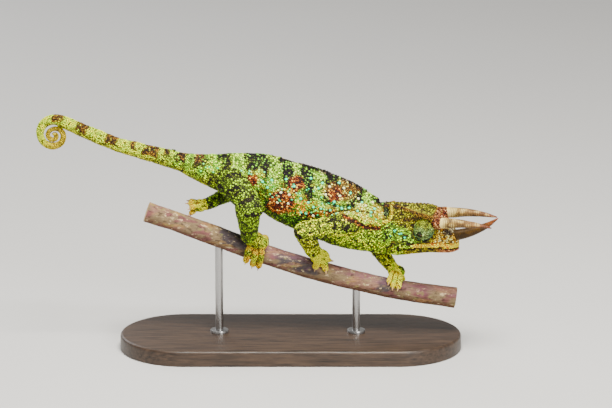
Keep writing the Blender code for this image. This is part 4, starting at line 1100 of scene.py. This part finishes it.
def scale_spacing(where):
    """Distance between scales that each part of the animal has."""
    x, gap = where.head[:, 0], np.full(len(where.points), 0.94)
    for chosen, spacing in (
        (where.rise > 0.6, 0.90), (where.rise < -0.75, 0.88), (where.on_tail, 0.86),
        (where.on_tail & (where.s < COIL_FROM), 0.76), (where.on_tail & (where.s < COIL_INNER), 0.60),
        (where.on_limb, np.array((0.90, 0.86, 0.74, 0.66))[where.part[where.on_limb]]),
        (where.on_head, 0.82), (where.on_head & (x > 20), 0.74), (where.on_head & (x > 27), 0.66),
        (where.turret, 0.50),
        (where.turret & (where.turret_radius < 1.75) & (where.turret_out > 0), NO_SCALES),
    ):
        gap[chosen] = spacing
    for _, knots, side in HORNS:
        *root, radius = sided(knots, side)[1]
        gap[where.on_head & (np.linalg.norm(where.head - root, axis=1) < radius - 0.2)] = NO_SCALES
    return gap


def scale_sizes(where):
    """Small, middling and large scales lie mixed, but more even on toes, tail and turret."""
    sizes = rng.choice((0.78, 1.0, 1.44), len(where.points), p=(0.46, 0.33, 0.21))
    sizes[where.even] = 1 + (sizes[where.even] - 1) * 0.5
    sizes[on_crest(where) > 0.5] = 1.35
    return sizes


def spread_out(places, sizes, nearest, rounds):
    """Pushes neighbours apart until the scales lie evenly on the skin, and gives their radii."""
    for number_of_round in range(rounds):
        if number_of_round % 4 == 0:
            spacing = np.minimum(scale_spacing(Where(places)), 2.0)
        tree = KDTree(len(places))
        for number, place in enumerate(places):
            tree.insert(place, number)
        tree.balance()
        index = np.array([[hit[1] for hit in tree.find_n(place, 9)] for place in places])[:, 1:]
        away = places[:, None] - places[index]
        distance = np.maximum(np.linalg.norm(away, axis=2), 1e-4)
        pair = sizes[:, None] + sizes[index]
        wish = spacing[:, None] * pair / 2 * 1.1
        push = np.clip(wish - distance, 0, None) / distance * 0.3
        places = places + (away * push[..., None]).sum(1)
        found = [nearest(place) for place in places]
        places = np.array([hit[0] for hit in found])
    normals = np.array([hit[1] for hit in found])
    radius = np.sort(distance * sizes[:, None] / pair, axis=1)[:, :5].mean(1)
    return places, normals, radius


def chart(where):
    """Each root's place, from 0 to 1 both ways, on the skin unrolled like a map."""
    hx, hy, hz = where.head.T
    limbs = [bone[0] for bone in BONES]
    number = where.bone - np.array([limbs.index(n) for n in range(4)])[where.limb]
    most = max(limbs.count(n) for n in range(4))
    starts, ends = (np.array([bone[k] for bone in BONES])[where.bone] for k in (2, 3))
    axis = units(ends - starts)
    hint = np.where(np.abs(axis[:, 2:3]) < 0.8, (0.0, 0.0, 1.0), (1.0, 0.0, 0.0))
    across = units(np.cross(axis, hint))
    off = where.points - starts
    round_bone = np.arctan2((off * across).sum(1), (off * np.cross(axis, across)).sum(1))
    along_spine = (where.run - SPINE_RUN[0]) / (SPINE_RUN[-1] - SPINE_RUN[0])
    along_limb = (number + 0.05 + 0.9 * where.bone_share) / most
    regions = (where.on_head, where.on_limb)
    u = np.select(regions, ((hx + 8) / 44, along_limb), along_spine)
    turn = np.select(regions, (np.arctan2(hy, hz), round_bone), np.arctan2(where.spread, where.rise))
    return np.clip(np.column_stack([u, turn / TURN + 0.5]), 0.004, 0.996)


SCALE_SIDES = 6
SPOT_RADIUS = 0.84       # of the large bright tubercles
PATCH = 0.0015           # half a scale's patch on its map
# Rings of a scale from its foot up: reach, height and painted light, which darkens the foot as painted
# shade and lightens the crown as a painted highlight. Fine scales have one ring less
LARGE_SCALE = ((1.0, -0.15, 0.3), (0.86, 0.46, 0.8), (0.5, 0.9, 1.0))
FINE_SCALE = ((1.0, -0.15, 0.32), (0.7, 0.68, 0.92))
FINE_RADIUS = 0.42


def domes(roots, normals, lie, radius, height, colours, levels):
    """Low closed domes: their points, triangles, colours and places within their patches."""
    count = len(roots)
    across = np.cross(normals, lie)
    short = np.linalg.norm(across, axis=1) < 1e-3
    across[short] = np.cross(normals[short], (0.3, 0.5, 0.8))
    across = units(across)
    along = np.cross(across, normals)
    angle = np.arange(SCALE_SIDES) * TURN / SCALE_SIDES + rng.uniform(-0.25, 0.25, (count, SCALE_SIDES))
    reach = rng.uniform(0.86, 1.1, (count, SCALE_SIDES)) * radius[:, None]
    x, y = np.cos(angle) * reach * 1.06, np.sin(angle) * reach * 0.96
    rings, tints, spots = [], [], []
    # Each ring's colour is scaled by its painted light
    for share, up, light in levels:
        flat = x[..., None] * share * along[:, None] + y[..., None] * share * across[:, None]
        rings.append(roots[:, None] + flat + normals[:, None] * (up * height)[:, None, None])
        tints.append(np.repeat((colours * light)[:, None], SCALE_SIDES, axis=1))
        spots.append(np.stack([np.cos(angle) * share, np.sin(angle) * share], axis=-1))
    top = roots + normals * height[:, None]
    foot = roots - normals * (0.55 * radius)[:, None]
    points = np.concatenate([*rings, top[:, None], foot[:, None]], axis=1)
    # The top point gets a painted highlight, and the foot, hidden in the skin, painted shade
    tints = np.concatenate([*tints, colours[:, None] * 1.08, colours[:, None] * 0.2], axis=1)
    middle = np.zeros((count, 1, 2))
    spots = np.concatenate([*spots, middle, middle], axis=1)
    n, last = SCALE_SIDES, len(levels) * SCALE_SIDES
    faces = []
    for k in range(n):
        j = (k + 1) % n
        for low in range(0, last - n, n):
            faces += [(low + k, low + j, low + n + j), (low + k, low + n + j, low + n + k)]
        faces += [(last - n + k, last - n + j, last), (j, k, last + 1)]
    faces = np.array(faces)[None] + (np.arange(count) * points.shape[1])[:, None, None]
    return points.reshape(-1, 3), faces.reshape(-1, 3), tints.reshape(-1, 3), spots


def scale_mesh(name, scales, colours, maps):
    """One coat piece: a closed dome at each root, with its own colour and map patch."""
    radius = scales[3]
    parts, shift = [], 0
    for chosen, levels in ((radius >= FINE_RADIUS, LARGE_SCALE), (radius < FINE_RADIUS, FINE_SCALE)):
        points, faces, tints, spots = domes(*(v[chosen] for v in (*scales, colours)), levels)
        patches = (maps[chosen][:, None] + spots * PATCH).reshape(-1, 2)
        parts.append((points, faces + shift, tints, patches))
        shift += len(points)
    points, faces, tints, flat_map = (np.concatenate(part) for part in zip(*parts))
    loops = faces.ravel()
    mesh = bpy.data.meshes.new(name)
    mesh.vertices.add(len(points))
    mesh.vertices.foreach_set("co", (points * MM).astype(np.float32).ravel())
    mesh.loops.add(len(loops))
    mesh.loops.foreach_set("vertex_index", loops.astype(np.int32))
    mesh.polygons.add(len(loops) // 3)
    mesh.polygons.foreach_set("loop_start", np.arange(0, len(loops), 3, dtype=np.int32))
    mesh.update(calc_edges=True)
    mesh.shade_smooth()
    tint(mesh, tints)
    layer = mesh.uv_layers.new(name="OFBake")
    layer.uv.foreach_set("vector", flat_map[loops].astype(np.float32).ravel())
    return mesh


FLESH_NODES = (
    "head", "lower_jaw", "neck", "torso_front", "torso_middle", "torso_rear", "hips", "tail_base",
    "tail_middle", "tail_tip_length", "tail_coil_turn_1", "tail_coil_turn_2", "tail_coil_core",
    "eye_turret_left", "eye_turret_right", "upper_arm_front_left", "forearm_front_left",
    "hand_front_left", "upper_arm_front_right", "forearm_front_right", "hand_front_right",
    "thigh_rear_left", "shin_rear_left", "foot_rear_left", "thigh_rear_right", "shin_rear_right",
    "foot_rear_right",
)


def skin_piece():
    """The whole animal's skin, which shows dark between the scales: each area's dark tone, halved again as
    painted shade in the gaps.
    """
    mesh = melted(mesh_from(flesh(), "flesh"))
    sculpt(mesh)
    mesh = thinned(mesh, SKIN_TRIANGLES)
    mesh.name = "skin"
    mesh.shade_smooth()
    points, _ = coordinates(mesh)
    # Each area's dark tone, halved again as painted shade between the scales
    tint(mesh, tone_colour(marked(Where(points)), np.zeros(len(points))) * 0.5)
    material = tinted_surface("skin between the scales", 0.65, 0.15, 1400.0, 0.16, 0.00012)
    return mesh_object("skin", mesh, material, "skin_body", *FLESH_NODES)


def coat_pieces(skin):
    """The scales over the skin, in eight pieces."""
    tree = BVHTree.FromObject(skin, bpy.context.evaluated_depsgraph_get())

    def nearest(place):
        place, normal, _, _ = tree.find_nearest(Vector(place) * MM)
        return place / MM, normal

    places = random_on(skin.data, scale_spacing)
    sizes = scale_sizes(Where(places))
    places, normals, radius = spread_out(places, sizes, nearest, 9)
    spacing = scale_spacing(Where(places))
    keep = spacing < NO_SCALES
    places, normals, radius, sizes, spacing = (v[keep] for v in (places, normals, radius, sizes, spacing))
    where = Where(places)
    x, _, z = where.head.T
    count = len(places)
    radius = np.minimum(radius * 1.02, spacing * sizes * 0.68)
    tones = marked(where)
    share = 0.46 + 0.85 * (sizes - 1) + 0.20 * noise_at(places, 2.4, 21) + rng.normal(0, 0.20, count)
    # Painted shade: darker rings of scales stand for the turret's concentric folds
    share -= 0.22 * where.turret * (np.sin(where.turret_radius * 6.0) > 0.5)
    share += where.even * rng.normal(0.06, 0.12, count)
    share += np.where(where.limb < FRONT_LIMBS, 0.42, 0.16) * where.on_grip
    share += 0.3 * (where.on_head & (x > 12) & (np.abs(z - profile(MOUTH_Z, x) - 1.2) < 1.0))
    flank = where.on_trunk & (where.rise > -0.25) & (where.rise < 0.5) & (sizes > 1.2)
    mint = flank & (rng.random(count) < 0.16)
    tones[mint] += (np.array(TONES["cyan"], float) - tones[mint]) * 0.6
    for spot_x, spot_z in CHEEK_SPOTS:
        tones[where.on_head & (np.hypot(x - spot_x, z - spot_z) < 0.8) & (sizes >= 1)] = TONES["cyan"]
    # Large bright tubercles on both flanks, with room round them
    trunk = where.on_trunk & (np.abs(where.rise) < 0.95)
    room = np.ones(count, bool)
    for spot_a, spot_b, kind in BRIGHT_SPOTS:
        for side in (-1, 1):
            off = np.hypot(where.a - spot_a, where.b - spot_b) + 100 * ~(trunk & (where.side == side))
            pick = int(np.argmin(off))
            if off[pick] < 1.5:
                tones[pick] = TONES["white" if kind else "cyan"]
                share[pick], radius[pick] = 0.6, SPOT_RADIUS
                beside = np.linalg.norm(places - places[pick], axis=1)
                room &= (beside > SPOT_RADIUS + 0.15) | (beside < 1e-6)
    # Taller dark scales along the back
    keel = where.on_body & (where.rise > 0.965) & (where.s > -60)
    radius[keel] *= 1.2
    share[keel] -= 0.3
    height = radius * np.where(where.turret, 0.42, 0.5) * rng.uniform(0.8, 1.2, count)
    height = np.minimum(height, 0.40)
    height[keel] = rng.uniform(0.35, 0.85, keel.sum())
    colours = tone_colour(tones, share)
    colours *= rng.uniform(0.93, 1.07, (count, 1)) * (1 + rng.normal(0, 0.025, (count, 3)))
    colours = np.clip(colours, 0.002, 0.95)
    maps = chart(where)
    groups = [
        ("scales_head", where.on_head, "skin_head"),
        ("scales_trunk_right", where.on_trunk & (where.spread <= 0), "skin_body"),
        ("scales_trunk_left", where.on_trunk & (where.spread > 0), "skin_body"),
        ("scales_tail", where.on_tail, "skin_tail"),
    ]
    for number, label in enumerate(LIMBS):
        groups.append(("scales_" + label, where.on_limb & (where.limb == number), "skin_limbs"))
    material = tinted_surface("scales", 0.52, 0.22, 2600.0, 0.10, 0.00004, 0.1)
    for name, area, slot in groups:
        chosen = area & room
        scales = [v[chosen] for v in (places, normals, where.lie, radius, height)]
        mesh_object(name, scale_mesh(name, scales, colours[chosen], maps[chosen]), material, slot)


# Horns, eyes and claws

def horn_piece(name, knots, side):
    """A tapering horn with fine uneven rings, pale at its root and darker towards its tip, with painted
    shade on its underside and in the grooves between its rings.
    """
    dark, count = int(knots is NOSE_HORN), 170
    knots = sided(knots, side)
    rows = tube_rows(knots, count)
    share = np.linspace(0, 1, count)
    waver = np.array([noise.noise(Vector((t * 5, dark * 9 + side, 3))) for t in share])
    wave = np.cos((share * lengths_of(rows)[-1] / HORN_RING + 0.5 * waver) * TURN)
    ridge = (0.065 * wave + 0.03 * waver) * ramp(share, 0.03, 0.1) * (1 - ramp(share, 0.86, 1.0))
    rows[:, 3] = np.maximum(rows[:, 3] + ridge, 0.1)
    rows[:, 4] = rows[:, 3]
    bm = bmesh.new()
    loft(bm, rings_of(rows, 28))
    mesh = mesh_from(bm, name, HEAD)
    points, normals = coordinates(mesh)
    local = head_local(points)
    start, end = (np.array(knot[:3]) for knot in (knots[0], knots[-1]))
    t = np.clip((local - start) @ (end - start) / ((end - start) @ (end - start)), 0, 1)
    blotch, fleck = noise_at(local * (0.55, 1, 1), 1.7, 31 + side), noise_at(points, 0.7, 33)
    stops, brown = HORN_TONES[dark]
    brown = np.array(brown)
    colour = np.array([np.interp(t, (0.05, 0.2, 0.65, 1.0), channel) for channel in zip(*stops)]).T
    stained = ramp(blotch + 0.4 * fleck, -0.15, 0.3) * ramp(t, 0.1, 0.22) * (1 - 0.7 * t) * 0.8
    colour = washed(colour, brown, stained)
    colour = washed(colour, (226, 206, 130), ramp(-blotch, 0.2, 0.5) * (1 - dark) * 0.6)
    # Painted shade: the underside is washed with the horn's brown
    under = ramp(-normals[:, 2] + 0.4 * fleck, -0.1, 0.9) * ramp(t, 0.1, 0.3) * 0.45
    colour = washed(colour, brown, under)
    # Painted shade in the grooves between the rings
    groove = ramp(-np.interp(t, share, wave) + 0.5 * fleck, 0.1, 0.9)
    colour = washed(colour, brown * 0.8, groove * ramp(t, 0.05, 0.15) * 0.85)
    colour *= (1 + 0.08 * fleck)[:, None]
    tint(mesh, linear(colour))
    material = bpy.data.materials.get("horn sheath") or tinted_surface(
        "horn sheath", 0.5, 0.2, 1800.0, 0.12, 0.00006, 0.1)
    mesh_object(name, mesh, material, "horn", name)


def eye_piece(name, side):
    """A glossy eyeball: black pupil, thin gold iris, dark surround."""
    axis = mirrored(TURRET_AXIS, side).normalized()
    centre = mirrored(TURRET_CENTRE, side) + axis * EYE_OUT
    bm = bmesh.new()
    bmesh.ops.create_uvsphere(bm, u_segments=40, v_segments=28, radius=EYE_RADIUS)
    look = axis.to_track_quat("Z", "Y").to_matrix().to_4x4()
    mesh = mesh_from(bm, name, HEAD @ Matrix.Translation(centre) @ look)
    points, _ = coordinates(mesh)
    off = head_local(points) - np.array(centre)
    turn = np.degrees(np.arccos(np.clip(off @ np.array(axis) / EYE_RADIUS, -1, 1)))
    iris = hill(turn, 27.0, 6.0, 3.0)
    tint(mesh, linear(washed(np.zeros((len(points), 3)) + (14, 11, 9), (122, 84, 30), iris)))
    material = bpy.data.materials.get("wet eye") or tinted_surface("wet eye", 0.08, 0.6, 900.0, 0.05, 0)
    mesh_object(name, mesh, material, "eyeball", name)


def claws_piece():
    """The hooked claws of all the toes, in one mesh."""
    bm = bmesh.new()
    for label in LIMBS:
        for points, radius in toe_paths(label)[2]:
            tip, before = points[-1], points[-2]
            ahead = (tip - before).normalized()
            root = tip + ahead * radius * 0.75
            y, z, _ = branch_row(tip.x)
            inward = Vector((tip.x, y, z)) - tip
            inward = (inward - ahead * inward.dot(ahead)).normalized()
            rows = []
            for t in np.linspace(0, 1, 9):
                place = root + ahead * t * (CLAW_LENGTH + radius * 0.25)
                place = place + inward * 0.18 * math.sin(t * 3.0) - inward * 0.15
                size = CLAW_RADIUS * (1 - t) ** 0.75 + 0.07
                rows.append((*place, size, size * 0.8, 0.0))
            loft(bm, rings_of(np.array(rows), 12, toe_hint(ahead)))
    mesh = mesh_from(bm, "claws")
    points, _ = coordinates(mesh)
    tint(mesh, linear(np.array((176, 140, 84)) + 30 * noise_at(points, 1.4, 41)[:, None]))
    material = tinted_surface("claw horn", 0.35, 0.5, 2200.0, 0.12, 0.00003)
    mesh_object("claws", mesh, material, "horn")


# Branch and stand

def bark_surface():
    """Bark that reads the stored tint and adds fibres, pale flecks and dark pits."""
    material, tree, shader, coords = surface("bark", 0.85, 0.15)
    colour = node(tree, "ShaderNodeAttribute", attribute_name="tint").outputs["Color"]
    fibre = noise_node(tree, coords, 1500.0, 4.0, 0.65, (0.3, 1.0, 1.0))
    flecks = noise_node(tree, coords, 600.0, 4.0, 0.6, (0.5, 1.0, 1.0))
    colour = shaded(tree, colour, range_node(tree, fibre, 0.3, 0.7, 0.68, 1.32))
    for low, high, tone in ((0.59, 0.66, (0.56, 0.43, 0.24, 1)), (0.42, 0.35, (0.045, 0.026, 0.02, 1))):
        mix = tree.nodes.new("ShaderNodeMix")
        mix.data_type = "RGBA"
        tree.links.new(range_node(tree, flecks, low, high, 0.0, 0.75), mix.inputs[0])
        tree.links.new(colour, mix.inputs[6])
        mix.inputs[7].default_value = tone
        colour = mix.outputs[2]
    tree.links.new(colour, shader.inputs["Base Color"])
    tree.links.new(range_node(tree, fibre, 0.3, 0.7, 0.75, 0.95), shader.inputs["Roughness"])
    bump(tree, shader, fibre, 0.0002)
    return material


def bark_piece():
    """The cut branch: low ridges, scars, patches of pink-brown, purple and tan bark, dark grey patches on
    its upper side beneath the animal, and painted shade in dark brown on its underside.
    """
    count, sides = 400, 90
    rows = tube_rows(BRANCH_KNOTS, count)
    points = rings_of(rows, sides).reshape(-1, 3)
    out = units(points - np.repeat(rows[:, :3], sides, axis=0))
    long = points * (0.28, 1, 1)
    relief = 0.09 * noise_at(long, 2.2, 51) + 0.05 * noise_at(long, 0.8, 52)
    relief += 0.06 * noise_at(points, 5.0, 53)
    cracks = np.exp(-(noise_at(long, 1.6, 54) / 0.10) ** 2) * ramp(noise_at(points, 6.0, 55), -0.1, 0.5)
    relief -= 0.10 * cracks
    rings = list((points + out * np.clip(relief, -0.2, 0.19)[:, None]).reshape(count, sides, 3))
    # The sawn ends stand out a little
    ends, caps = [], []
    for last, inner in ((0, 1), (-1, -2)):
        centre = rows[last, :3]
        away = centre - rows[inner, :3]
        away /= np.linalg.norm(away)
        ends.append((centre, away))
        rim = rings[last] - centre
        caps.append([centre + rim * share + away * 0.12 for share in (0.93, 0.6, 0.25)])
    bm = bmesh.new()
    loft(bm, caps[0][::-1] + rings + caps[1])
    mesh = mesh_from(bm, "perch_bark", sharp=40)
    points, normals = coordinates(mesh)
    a = points[:, 0]
    long = points * (0.35, 1, 1)
    wide, mid, fine = noise_at(long, 6.0, 56), noise_at(long, 2.4, 57), noise_at(long, 0.9, 58)
    top = normals[:, 2] * 0.9 - normals[:, 1] * 0.4
    washes = [
        ((127, 92, 80), ramp(wide + 0.4 * mid, -0.1, 0.5) * 0.8),
        ((104, 62, 64), ramp(mid - 0.4 * wide, 0.1, 0.6) * 0.8),
    ]
    # Dark grey patches on the upper side, beneath the body and the left front hand
    for middle, half in ((-16.5, 5.5), (15.0, 8.5), (59.0, 1.8)):
        grey = hill(a + 1.5 * mid, middle, half, 2.5) * ramp(top + 0.3 * wide, -0.1, 0.4) * 0.9
        washes.append(((62, 56, 60), grey))
    washes += [
        ((150, 116, 66), ramp(noise_at(long, 4.0, 59) + 0.4 * fine, 0.4, 0.7) * 0.6),
        ((110, 70, 82), ramp(top + 0.3 * mid, 0.55, 0.95) * ramp(a + 6 * wide, -12, 6) * 0.5),
        # Painted shade: the underside is washed dark brown
        ((92, 57, 45), (1 - ramp(normals[:, 2] + 0.3 * mid, -0.75, -0.35)) * 0.6),
        ((128, 128, 66), ramp(noise_at(points, 1.8, 60) + 0.3 * wide, 0.75, 0.95) * 0.5),
    ]
    colour = np.zeros((len(points), 3)) + (116, 98, 73)
    for over, share in washes:
        colour = washed(colour, over, share)
    for (centre, away), near in zip(ends, (a < rows[0, 0] + 3, a > rows[-1, 0] - 3)):
        growth = np.sin(np.linalg.norm(points - centre, axis=1) * 9.0)
        wood = np.array((196, 164, 118)) * (1 + 0.08 * growth)[:, None]
        colour = np.where((near & (normals @ away > 0.8))[:, None], wood, colour)
    tint(mesh, linear(colour))
    mesh_object("perch_bark", mesh, bark_surface(), "bark", "perch_branch")


def base_piece():
    """The stand's base with a rounded upper edge, in dark stained wood."""
    bm = bmesh.new()
    half = BASE_LENGTH / 2 - BASE_WIDTH / 2
    rings = []
    edge = [(0.0, 0.35), (0.35, 0.0), (BASE_HEIGHT - BASE_EDGE, 0.0)]
    for turn in (22.5, 45.0, 67.5, 90.0):
        angle = math.radians(turn)
        rise, inset = BASE_EDGE * math.sin(angle), BASE_EDGE * (1 - math.cos(angle))
        edge.append((BASE_HEIGHT - BASE_EDGE + rise, inset))
    for z, inset in edge:
        ring, radius = [], BASE_WIDTH / 2 - inset
        for k in range(96):
            angle = TURN * (k + 0.5) / 96
            shift = half if math.cos(angle) > 0 else -half
            ring.append((BASE_CENTRE_X + shift + radius * math.cos(angle), radius * math.sin(angle), z))
        rings.append(ring)
    loft(bm, rings)
    mesh = mesh_from(bm, "base_board", sharp=35)
    material, tree, shader, coords = surface("dark stained wood", 0.38, 0.4)
    grain = noise_node(tree, coords, 60.0, 5.0, 0.6, (1.0, 14.0, 14.0))
    fine = noise_node(tree, coords, 260.0, 3.0, 0.6, (1.0, 12.0, 12.0))
    colour = two_tones(tree, grain, (0.016, 0.010, 0.007), (0.070, 0.042, 0.026), 0.32, 0.7)
    colour = shaded(tree, colour, range_node(tree, fine, 0.3, 0.7, 0.75, 1.2))
    tree.links.new(colour, shader.inputs["Base Color"])
    tree.links.new(range_node(tree, fine, 0.3, 0.7, 0.32, 0.5), shader.inputs["Roughness"])
    bump(tree, shader, fine, 0.00008)
    mesh_object("base_board", mesh, material, "stand_wood", "stand_base")


def rod_pieces():
    """Two steel rods from the base up to the bark, each with a collar at its foot."""
    material, tree, shader, coords = surface("brushed steel", 0.3, 0.5)
    shader.inputs["Metallic"].default_value = 1.0
    brushed = noise_node(tree, coords, 700.0, 2.0, 0.5, (1.0, 1.0, 0.04))
    colour = two_tones(tree, brushed, (0.30, 0.30, 0.31), (0.48, 0.47, 0.46))
    tree.links.new(colour, shader.inputs["Base Color"])
    tree.links.new(range_node(tree, brushed, 0.3, 0.7, 0.22, 0.38), shader.inputs["Roughness"])
    for name, x in zip(("rod_rear", "rod_front"), ROD_AT):
        top = branch_point(x, 180, -0.6).z
        foot_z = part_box("stand_" + name)[0][2] / MM - 0.25
        rings = []
        ledge_z = foot_z + COLLAR_HEIGHT
        for z, radius in (
            (foot_z, COLLAR_RADIUS), (foot_z + COLLAR_HEIGHT * 0.75, COLLAR_RADIUS),
            (foot_z + COLLAR_HEIGHT * 0.93, COLLAR_RADIUS - 0.15), (ledge_z, COLLAR_RADIUS - 0.5),
            (ledge_z, ROD_RADIUS), (top, ROD_RADIUS),
        ):
            turns = [TURN * k / 40 for k in range(40)]
            rings.append([(x + radius * math.cos(turn), radius * math.sin(turn), z) for turn in turns])
        bm = bmesh.new()
        loft(bm, rings)
        mesh_object(name, mesh_from(bm, name, sharp=35), material, "stand_metal", "stand_" + name)


# Floor, light and camera

def studio():
    """A plain pale floor, an even pale sky and three large soft lights."""
    bpy.ops.mesh.primitive_plane_add(size=14)
    floor = bpy.context.object
    floor.name = "floor"
    material, tree, shader, coords = surface("pale floor", 0.9, 0.2)
    colour = two_tones(tree, noise_node(tree, coords, 3.0, 2.0), (0.57, 0.57, 0.565), (0.60, 0.60, 0.595))
    tree.links.new(colour, shader.inputs["Base Color"])
    floor.data.materials.append(material)
    world = bpy.data.worlds.new("studio")
    bpy.context.scene.world = world
    world.use_nodes = True
    sky = world.node_tree.nodes["Background"].inputs
    sky["Color"].default_value = (1.0, 0.985, 0.95, 1)
    sky["Strength"].default_value = 0.42
    for name, place, size, power, colour in (
        ("overhead", (0.06, -0.34, 0.85), 0.34, 20.0, (1.0, 0.96, 0.88)),
        ("front", (0.55, -1.0, 0.5), 0.5, 11.0, (1.0, 0.97, 0.92)),
        ("back", (-0.6, 0.8, 0.6), 0.6, 5.0, (0.98, 0.98, 1.0)),
    ):
        lamp = bpy.data.lights.new(name, "AREA")
        lamp.size, lamp.energy, lamp.color = size, power, colour
        light = placed(name, lamp)
        light.location = place
        beam = Vector((0.01, 0, 0.07)) - Vector(place)
        light.rotation_euler = beam.to_track_quat("-Z", "Y").to_euler()


def camera():
    """The photo's angle, from a little above and square to the walk."""
    lens = bpy.data.cameras.new("camera")
    lens.lens, lens.sensor_width = 200.0, 36.0
    eye = placed("camera", lens)
    aim, distance = Vector((0.0197, 0.0, 0.075)), 1.70
    eye.location = aim + Vector((0, -math.cos(VIEW_TILT), math.sin(VIEW_TILT))) * distance
    eye.rotation_euler = (math.radians(90) - VIEW_TILT, 0, 0)
    bpy.context.scene.camera = eye


skin = skin_piece()
coat_pieces(skin)
for name, knots, side in HORNS:
    horn_piece(name, knots, side)
eye_piece("eye_left", 1)
eye_piece("eye_right", -1)
claws_piece()
bark_piece()
base_piece()
rod_pieces()
studio()
camera()
